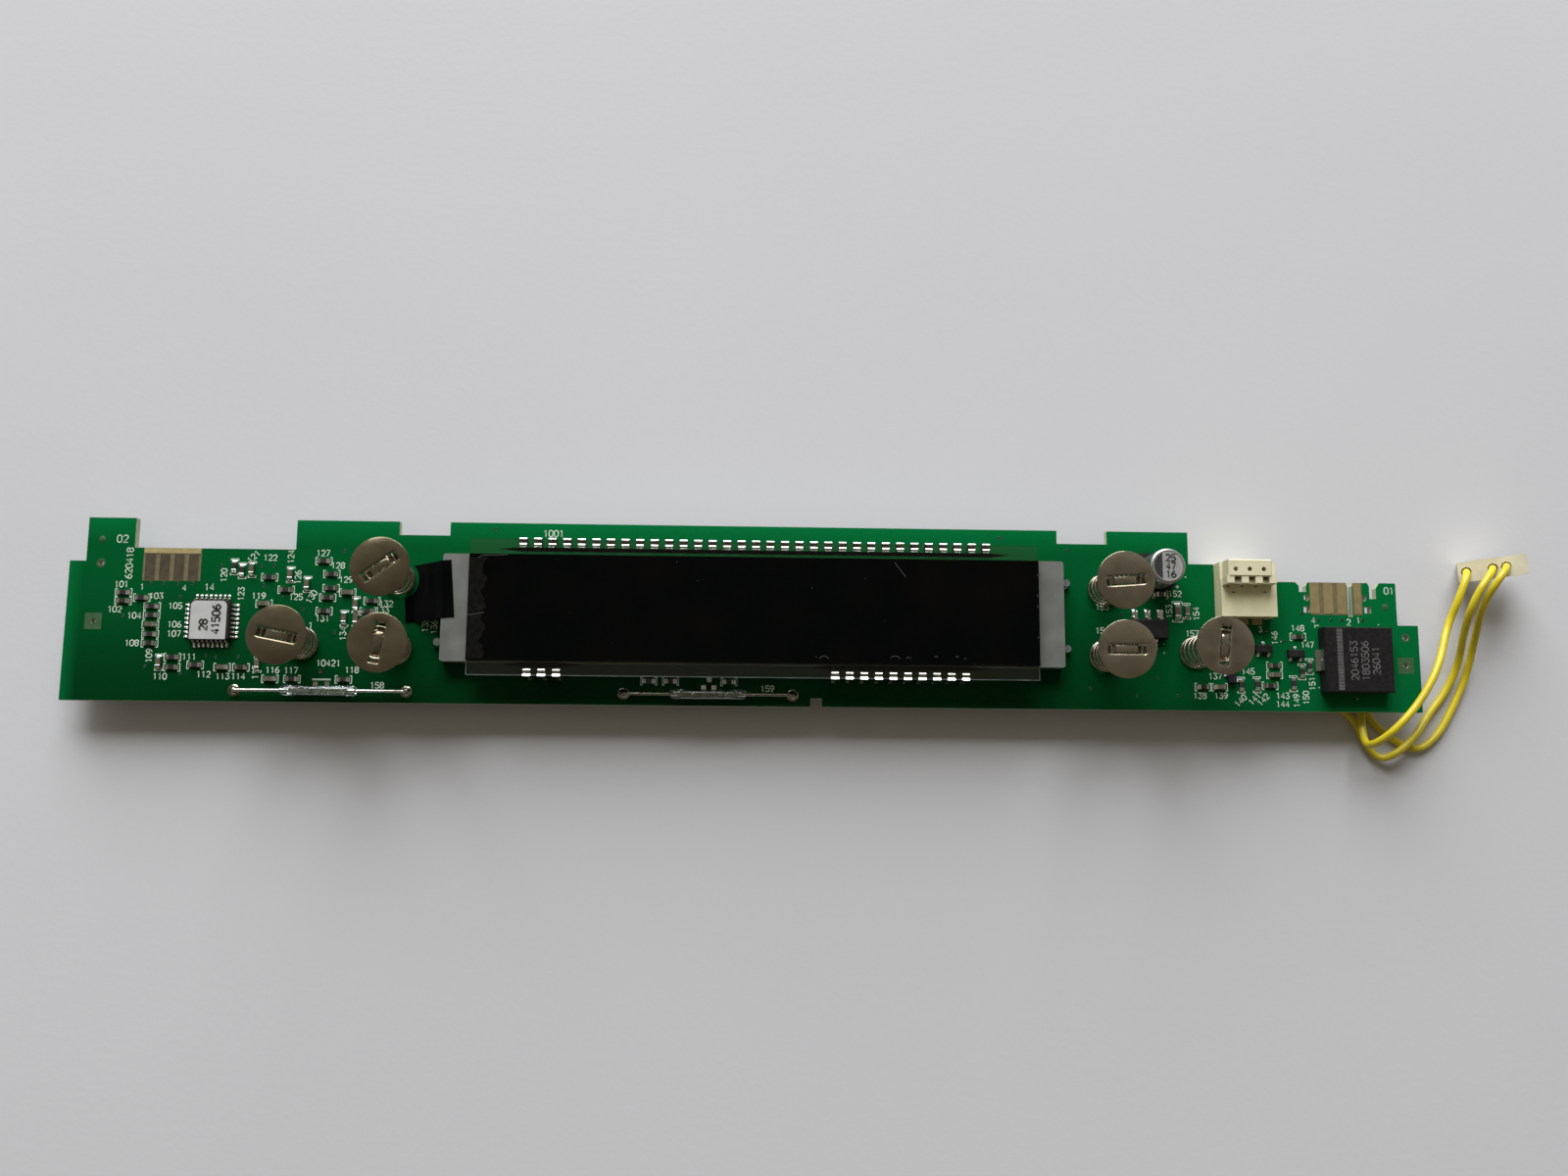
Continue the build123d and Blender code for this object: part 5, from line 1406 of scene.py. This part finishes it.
@dataclass
class TouchKey:
    """One key: a stamped disc whose bent bridge hooks the last coil of a spring."""

    number: int
    base: Flat
    lean: Flat
    slot_turn: float
    disc_top: float = 19.2
    radius: float = 5.0
    thickness: float = 0.3
    window: Flat = (3.4, 0.85)
    rolled_edge: tuple[Flat, ...] = ((.0, -.17), (.06, -.09), (.18, -.03), (.34, .0))
    rim_top: tuple[Flat, ...] = ((.08, .0), (.02, -.03), (.0, -.09))
    rim_foot: tuple[Flat, ...] = ((.0, .06), (.04, .0))
    flats: int = 96
    bridge_width: float = 1.1
    bridge_thickness: float = 0.18
    bridge_levels: tuple[float, float, float] = (-0.02, -0.85, -0.15)
    bridge_slopes: Flat = (0.25, 0.45)
    bridge_play: Flat = (0.1, 0.35)
    bridge_bevel: Flat = (0.06, 0.02)
    tab: float = 0.05
    coil_radius: float = 2.7
    wire: float = 0.45
    turns: float = 8.0
    flat_turns: float = 0.75
    end_turn: float = 98.0
    open_ends: float = 0.016
    seat: float = 0.05
    steps: int = 26
    travel: float = 2.5
    # discs after this number get the lighter copy of the steel, a painted highlight
    last_dull: int = 3

    def frame(self) -> Matrix:
        """Returns the disc's place and turn.

        Returns:
            The matrix, in millimetres.
        """
        x, y = (base + lean for base, lean in zip(self.base, self.lean))
        turn = Matrix.Rotation(math.radians(self.slot_turn), 4, "Z")
        return Matrix.Translation(Vector((x, y, self.disc_top))) @ turn

    def hole(self, angle: float, grow: float, z: float) -> Point:
        """Returns a point of the window's edge in a direction.

        Args:
            angle: the direction.
            grow: how far outside the window the point lies.
            z: its level.

        Returns:
            The point.
        """
        long, wide = self.window[0] + grow, self.window[1] + grow
        c, s = math.cos(angle), math.sin(angle)
        reach = min(long / max(abs(c), 1e-9), wide / max(abs(s), 1e-9))
        return (reach * c, reach * s, z)

    def disc(self) -> Shape:
        """Draws the disc with its window, whose edges are rolled down, and its soft stamped rim.

        Returns:
            The disc, round its own origin.
        """
        angles = fan(self.flats)
        corner = math.atan2(self.window[1], self.window[0])
        for target in (corner, math.pi - corner, math.pi + corner, FULL - corner):
            angles[min(range(self.flats), key=lambda i: abs(angles[i] - target))] = target
        low, r = -self.thickness, self.radius
        rim = [(r - inset, z) for inset, z in self.rim_top]
        rim += [(r - inset, low + rise) for inset, rise in self.rim_foot]
        loops = [[self.hole(a, grow, z) for a in angles] for grow, z in self.rolled_edge]
        loops += [[(radius * math.cos(a), radius * math.sin(a), z) for a in angles]
                  for radius, z in rim]
        return Shape().rings([*loops, [self.hole(a, 0.0, low) for a in angles]], closed=True)

    def bridge(self) -> Shape:
        """Draws the bent bridge: down at the window's ends, under the coil, up to its crown.

        Returns:
            The bridge, as the disc lies.
        """
        outer = self.window[0] - self.bridge_play[0]
        inner = self.coil_radius - self.wire / 2 - self.bridge_play[1]
        (top, floor, crown), (down, up) = self.bridge_levels, self.bridge_slopes
        right = [(inner - up, crown), (inner, floor), (outer - down, floor), (outer, top),
                 (self.window[0] + self.tab, top)]
        corners = [(-x, z) for x, z in reversed(right)] + right
        half, thick, (side, rise) = self.bridge_width / 2, self.bridge_thickness, self.bridge_bevel
        section = ((-half, 0), (-half + side, rise), (half - side, rise), (half, 0),
                   (half, -thick), (-half, -thick))
        return Shape().rings([[(x, y, z + dz) for y, dz in section]
                              for x, z in self.softened(corners, 2)])

    @staticmethod
    def softened(line: list[Flat], rounds: int) -> list[Flat]:
        """Rounds the corners of a line by cutting them again and again.

        Args:
            line: the line's corners.
            rounds: how many times the corners are cut.

        Returns:
            The softened line, with the same ends.
        """
        for _ in range(rounds):
            cut = [line[0]]
            for (x0, y0), (x1, y1) in zip(line, line[1:]):
                cut += [(share * x0 + (1 - share) * x1, share * y0 + (1 - share) * y1)
                        for share in (.75, .25)]
            line = [*cut, line[-1]]
        return line

    def coil(self) -> list[Point]:
        """Returns the spring's path: flat at both ends and leaning as it climbs.

        Returns:
            The path, from the board up.
        """
        floor = BOARD_TOP + self.wire / 2 + self.seat
        ceiling = self.disc_top - self.thickness - self.wire / 2 - self.seat
        path = []
        for step in range(round(self.turns * self.steps) + 1):
            turn = step / self.steps
            climb = (turn - self.flat_turns) / (self.turns - 2 * self.flat_turns)
            climb = min(max(climb, 0.0), 1.0)
            rise = climb + self.open_ends * math.sin(FULL * climb)
            angle = FULL * turn + math.radians(self.slot_turn - self.end_turn)
            path.append((self.base[0] + self.coil_radius * math.cos(angle) + self.lean[0] * climb,
                         self.base[1] + self.coil_radius * math.sin(angle) + self.lean[1] * climb,
                         floor + (ceiling - floor) * rise))
        return path

    def finish(self, bench: Bench) -> None:
        """Makes the disc and its spring; the three discs on the right get a lighter copy of the
        steel, a painted highlight where more light falls on them.

        Args:
            bench: the shared node tools.
        """
        stamped = Shape().join(self.disc(), self.frame()).join(self.bridge(), self.frame())
        steel = Palette.disc if self.number <= self.last_dull else Palette.bright_disc
        solid(f"stamped_disc_{self.number}", stamped, steel, [f"touch_disc_{self.number}"],
              f"key_{self.number}", smooth=28.0)
        spring = bench.wire.run(f"coil_spring_{self.number}", [self.coil()], self.wire, self.wire,
                                Palette.spring, [f"touch_spring_{self.number}"])
        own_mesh(spring)


@dataclass
class TouchKeys:
    """All six keys: where each stands, how far it leans and how far it is turned."""

    keys: tuple[tuple[Flat, Flat, float], ...] = (
        ((-79.0, -5.8), (-.3, .1), -11.0), ((-62.65, 5.7), (-.2, .3), 36.0),
        ((-62.65, -6.6), (.0, -.2), 81.0), ((62.85, 5.3), (.5, .0), 4.5),
        ((62.85, -6.6), (.4, .1), .0), ((79.2, -5.8), (.9, .1), 84.0))

    def finish(self, bench: Bench) -> None:
        """Makes every key."""
        for number, (base, lean, turn) in enumerate(self.keys, start=1):
            TouchKey(number, base, lean, turn).finish(bench)


# --------------------------------------------------------------------------------- small parts


@dataclass
class ChipKind:
    """One kind of chip part: where its chips stand, its size and the finish of its body."""

    name: str
    places: Sequence[Place]
    body: Finish
    height: float
    size: float = 1.0
    half_length: float = 0.8
    half_width: float = 0.4
    cap: float = 0.3
    fillet: float = 0.38
    wetting: float = 0.82
    slope: tuple[Flat, ...] = ((.02, 1.0), (.08, .55), (.2, .2))
    glaze: tuple[float, float, float] = (0.03, 0.05, 0.005)
    rounding: tuple[float, float, float] = (0.02, 0.05, 0.06)

    def body_shape(self) -> Shape:
        """Draws the body between the caps, with its glazed top.

        Returns:
            The body, round its own origin.
        """
        x, y, high = self.half_length - self.cap, self.half_width, self.height
        step, side, top = self.glaze
        shape = Shape().prism(rectangle(-x, x, -y, y), step, high - step)
        x, y = x - step, y - side
        return shape.prism(rectangle(-x, x, -y, y), high - step, high - top)

    def ends(self) -> Shape:
        """Draws both end caps and the solder that slopes down from them.

        Returns:
            The ends, round the chip's own origin.
        """
        shape = Shape()
        outer, high, wide = self.half_length, self.height, self.half_width
        inner, rise = outer - self.cap, high * self.wetting
        low, back, front = self.rounding
        side = [(inner, 0), (inner, high - low), (inner + back, high), (outer - front, high),
                (outer, high - front), *((outer + out, rise * share) for out, share in self.slope),
                (outer + self.fillet, 0)]
        for sign in (-1, 1):
            shape.rings([[(sign * x, y, z) for x, z in side] for y in (-wide, wide)])
        return shape

    def finish(self, bench: Bench) -> None:
        """Stands every chip of this kind on its place.

        Args:
            bench: the shared node tools.
        """
        node = [f"chip_{self.name.removeprefix('large_')}s"]
        for what, shape, finish in (("bodies", self.body_shape(), self.body),
                                    ("ends", self.ends(), Palette.solder)):
            bench.repeater.stand(f"{self.name}_{what}", shape, self.places, BOARD_TOP, finish, node,
                                 self.size)


@dataclass
class Chips:
    """Chip resistors and capacitors on their solder."""

    resistor_height: float = 0.45
    capacitor_height: float = 0.75
    large: float = 1.35

    def finish(self, bench: Bench) -> None:
        """Stands every chip on its place.

        Args:
            bench: the shared node tools.
        """
        for kind in (ChipKind("resistor", RESISTORS, Palette.chip_black, self.resistor_height),
                     ChipKind("capacitor", CAPACITORS, Palette.ceramic, self.capacitor_height),
                     ChipKind("large_capacitor", LARGE_CAPACITORS, Palette.ceramic,
                              self.capacitor_height / self.large, self.large)):
            kind.finish(bench)


@dataclass
class Controller:
    """Flat controller with leads on four sides and a paper label."""

    label_top: float = 7.83
    figures: tuple[tuple[str, float, float], ...] = (("28", -95.67, -2.95),
                                                     ("41506", -93.57, -1.95))
    figure_height: float = 1.3
    stroke: Flat = (0.38, 0.012)

    def finish(self, bench: Bench) -> None:
        """Dresses the controller and prints plain figures on its label.

        Args:
            bench: the shared node tools.
        """
        dress({"controller": Palette.epoxy, "controller_leads": Palette.tinned,
               "controller_label": Palette.paper})
        paths = figure_rows(self.figures, self.label_top + LIFT, self.figure_height, 90)
        bench.printer.run("label_figures", paths, *self.stroke, Palette.black_ink)


@dataclass
class PowerParts:
    """Voltage regulator, small transistors and the smoothing capacitor."""

    can: Flat = (72.4, 8.7)
    can_floor: float = 7.25
    can_top: float = 13.9
    can_radius: float = 3.15
    crimp: tuple[Flat, ...] = ((.25, 0), (.08, .06), (0, .22), (0, .75), (.12, .9), (.2, 1.1),
                               (.12, 1.3), (0, 1.45))
    rim: tuple[Flat, ...] = ((0, .42), (.06, .22), (.2, .08), (.4, .01), (.55, .02), (.62, .05))
    lid_inset: float = 0.6
    lid_drop: float = 0.04
    band_reach: float = 2.49
    band_cut: float = -1.0
    print_height: float = 0.01
    figures: tuple[tuple[str, float, float], ...] = (("25", 72.85, 10.15), ("47", 72.85, 8.7),
                                                     ("16", 72.85, 7.25))
    figure_height: float = 1.15
    stroke: Flat = (0.3, 0.02)

    def finish(self, bench: Bench) -> None:
        """Dresses the parts and makes the can's drawn sleeve, with its crimped groove.

        Args:
            bench: the shared node tools.
        """
        dress({"regulator": Palette.epoxy, "regulator_leads": Palette.solder,
               "transistors": Palette.epoxy, "transistor_leads": Palette.solder,
               "electrolytic_base": Palette.epoxy, "electrolytic_leads": Palette.solder})
        r, low, high = self.can_radius, self.can_floor, self.can_top
        wall = [(r - inset, low + rise) for inset, rise in self.crimp]
        wall += [(r - inset, high - drop) for inset, drop in self.rim]
        sleeve = Shape().turned([(0, low), *wall, (0, wall[-1][1])], (*self.can, 0), 64)
        solid("can_sleeve", sleeve, Palette.sleeve, ["electrolytic_can"], smooth=40.0)
        self.print_top(bench.printer)

    def print_top(self, printer: Runner) -> None:
        """Prints the black band and plain figures on the can's top.

        Args:
            printer: runs printed lines.
        """
        x, y = self.can
        level, thin = self.can_top - self.lid_drop, self.print_height
        r = self.can_radius - self.lid_inset
        lid = [(0, level - thin), (r, level - thin), (r, level), (0, level)]
        solid("can_lid", Shape().turned(lid, (x, y, 0), 48), Palette.lid)
        start = math.acos(self.band_cut / self.band_reach)
        arc = [(x + self.band_reach * math.cos(a), y + self.band_reach * math.sin(a))
               for a in fan(25, start, FULL - 2 * start)]
        solid("can_band", Shape().prism(arc, level - thin, level + thin), Palette.black_ink)
        paths = figure_rows(self.figures, level + 2 * LIFT, self.figure_height)
        printer.run("can_figures", paths, *self.stroke, Palette.black_ink)


@dataclass
class ReedSwitches:
    """Two reed switches: glass tubes with a blade at the end of each lead."""

    places: tuple[float, ...] = (-75.4, -7.8)
    y: float = -14.15
    z: float = 7.45
    half_glass: float = 6.65
    radius: float = 0.88
    wall: float = 0.2
    seal: float = 1.6
    lead: float = 0.54
    half_span: float = 14.85
    play: float = 0.015
    shoulder: tuple[Flat, ...] = ((0, 1.2), (0, .65), (.16, .2), (.43, .02))
    throat: tuple[Flat, ...] = ((.2, 0), (0, .5))
    neck: float = 0.25
    rise: float = 1.0
    bend: float = 0.55
    root: tuple[float, float, float] = (0.1, 0.2, 0.8)
    blade: Flat = (0.45, 0.1)
    overlap: float = 0.6
    part: float = 0.13
    dome: tuple[Flat, ...] = ((0, .9), (.22, .86), (.45, .68), (.68, .34), (.86, .1), (1.04, .04),
                              (1.06, .0), (0, 0))

    def finish(self, bench: Bench) -> None:
        """Makes both switches, the second with darker leads as painted shade where the display
        shades it, and the solder on the leads.

        Args:
            bench: the shared node tools.
        """
        for number, (x, metal) in enumerate(zip(self.places, (Palette.tinned, Palette.dull_tin)),
                                            start=1):
            leads = [f"reed_leads_{number}"]
            solid(f"switch_glass_{number}", self.tube(x), Palette.reed_glass,
                  [f"reed_glass_{number}"], smooth=50.0)
            bench.wire.run(f"switch_wires_{number}", [self.lead_path(x, side) for side in (-1, 1)],
                           self.lead, self.lead, metal, leads)
            solid(f"switch_blades_{number}", self.blades(x), metal, leads)
        bench.repeater.stand("switch_solder", Shape().turned(self.dome),
                             [(x, y, 0) for x, y in self.ends()], BOARD_TOP, Palette.old_solder,
                             ["reed_solder"])

    def ends(self) -> list[Flat]:
        """Returns where every lead goes through the board."""
        return [(x + side * self.half_span, self.y) for x in self.places for side in (-1, 1)]

    def tube(self, x: float) -> Shape:
        """Draws the sealed hollow glass tube whose middle is at x.

        Args:
            x: the tube's middle.

        Returns:
            The tube.
        """
        h, r, bore = self.half_glass, self.radius, self.radius - self.wall
        seal = h - self.seal
        hole = self.lead / 2 + self.play
        outside = [*((r - inset, h - back) for inset, back in self.shoulder), (hole, h)]
        inside = [(hole, seal + self.neck),
                  *((bore - inset, seal - back) for inset, back in self.throat)]
        profile = [*((radius, -along) for radius, along in reversed(outside)), *outside,
                   *inside, *((radius, -along) for radius, along in reversed(inside))]
        return Shape().turned(profile, (x, self.y, self.z), 28, Axis.X, closed=True)

    def lead_path(self, x: float, side: int) -> list[Point]:
        """Returns one lead's path: up through the board, a soft bend, and along into the glass.

        Args:
            x: the switch's middle.
            side: -1 for the left lead, 1 for the right one.

        Returns:
            The path.
        """
        end, inner = x + side * self.half_span, x + side * (self.half_glass - self.seal)
        b = self.bend
        bend = [(end - side * b * (1 - math.cos(a)), self.y, self.z - b + b * math.sin(a))
                for a in fan(7, sweep=math.pi / 2)]
        return [(end, self.y, BOARD_UNDERSIDE), (end, self.y, self.z - self.rise), *bend,
                (inner, self.y, self.z)]

    def blades(self, x: float) -> Shape:
        """Draws the flattened blades of both leads, one over the other.

        Args:
            x: the switch's middle.

        Returns:
            Both blades.
        """
        shape, (inset, half, taper) = Shape(), self.root
        for side in (-1, 1):
            start = x + side * (self.half_glass - self.seal + inset)
            level = self.z + side * self.part
            sections = ((start, half, half), (start - side * taper, *self.blade),
                        (x - side * self.overlap, *self.blade))
            shape.rings([[(along, y, z) for y, z in rectangle(self.y - wide, self.y + wide,
                                                              level - thin, level + thin)]
                         for along, wide, thin in sections])
        return shape


@dataclass
class Buzzer:
    """Surface buzzer with a ribbed vent and plain figures on its top."""

    middle_y: float = -6.95
    top: float = 9.2
    vent_x: float = 104.3
    rib: tuple[float, float, float] = (0.52, 0.06, 0.1)
    ribs: int = 44
    rib_pitch: float = 0.25
    figures: tuple[tuple[str, float, float], ...] = (
        ("2046153", 106.75, -7.15), ("1803506", 108.75, -7.15), ("26041", 110.7, -7.15))
    figure_height: float = 1.25
    stroke: Flat = (0.15, 0.01)

    def finish(self, bench: Bench) -> None:
        """Dresses the case and makes its ribs and figures.

        Args:
            bench: the shared node tools.
        """
        dress({"buzzer": Palette.buzzer, "buzzer_terminals": Palette.tinned})
        long, wide, high = self.rib
        rib = Shape().prism(rectangle(-long, long, -wide, wide), 0, high)
        places = [(self.vent_x, self.middle_y + (i - (self.ribs - 1) / 2) * self.rib_pitch, 0)
                  for i in range(self.ribs)]
        bench.repeater.stand("vent_ribs", rib, places, self.top - high, Palette.ribs)
        paths = figure_rows(self.figures, self.top + LIFT, self.figure_height, 90)
        bench.printer.run("buzzer_figures", paths, *self.stroke, Palette.grey_ink)


@dataclass
class LeadSolder:
    """Solder that has flowed round the foot of each flat lead."""

    margins: tuple[tuple[str, float], ...] = (("controller_leads", .08), ("regulator_leads", .22),
                                              ("transistor_leads", .14))
    foot_level: float = 0.22
    rise: float = 0.30
    flats: int = 16
    squareness: float = 0.55
    dome: tuple[Flat, ...] = ((1.0, 0.0), (.93, .1), (.78, .45), (.55, .78), (.28, .96), (.04, 1.0))

    def finish(self, bench: Bench) -> None:
        """Makes one piece of solder for each set of leads.

        Args:
            bench: the shared node tools.
        """
        for node, margin in self.margins:
            shape = Shape()
            for foot in self.feet(frame["nodes"][node].data):
                shape.rings(self.fillet(foot, margin))
            solid(f"{node}_solder", shape, Palette.solder, smooth=60.0)

    def feet(self, mesh: bpy.types.Mesh) -> list[list[Vector]]:
        """Finds where each lead touches the board.

        Args:
            mesh: all the leads of one part.

        Returns:
            The lowest points of each lead, in millimetres.
        """
        group = list(range(len(mesh.vertices)))

        def top(i: int) -> int:
            """Returns the group that a vertex belongs to."""
            while group[i] != i:
                group[i] = group[group[i]]
                i = group[i]
            return i

        for edge in mesh.edges:
            first, second = (top(i) for i in edge.vertices)
            group[first] = second
        found: dict[int, list[Vector]] = {}
        for vertex in mesh.vertices:
            place = vertex.co / MM
            if place.z < BOARD_TOP + self.foot_level:
                found.setdefault(top(vertex.index), []).append(place)
        return list(found.values())

    def fillet(self, foot: Sequence[Vector], margin: float) -> list[list[Point]]:
        """Draws one low dome over a foot.

        Args:
            foot: the foot's points.
            margin: how far the dome runs out past the foot.

        Returns:
            The dome's rings.
        """
        low, high = ([limit(p[axis] for p in foot) for axis in (0, 1)] for limit in (min, max))
        (x, half_x), (y, half_y) = (((a + b) / 2, (b - a) / 2 + margin) for a, b in zip(low, high))
        around = []
        for angle in fan(self.flats):
            c, s = math.cos(angle), math.sin(angle)
            square = max(abs(c), abs(s)) ** self.squareness
            around.append((half_x * c / square, half_y * s / square))
        return [[(x + share * u, y + share * v, BOARD_TOP + level * self.rise) for u, v in around]
                for share, level in self.dome]


# ---------------------------------------------------------------------------------------- main


def main() -> None:
    """Builds the studio and every sub-assembly in order."""
    logging.basicConfig(level=logging.INFO)
    studio, display, switches = Studio(), Display(), ReedSwitches()
    studio.aim_camera()
    Wires().lay()
    bench = Bench()
    parts: tuple[Assembly, ...] = (
        Board(), display, UnderBoard(display.legs() + switches.ends()), TouchKeys(), Chips(),
        Controller(), LeadSolder(), PowerParts(), switches, Buzzer(), Plugs())
    for part in parts:
        LOG.info("building %s", type(part).__name__)
        part.finish(bench)
    studio.lay_floor()
    studio.hang_lamp()
    studio.light_room()


if __name__ == "__main__":
    main()
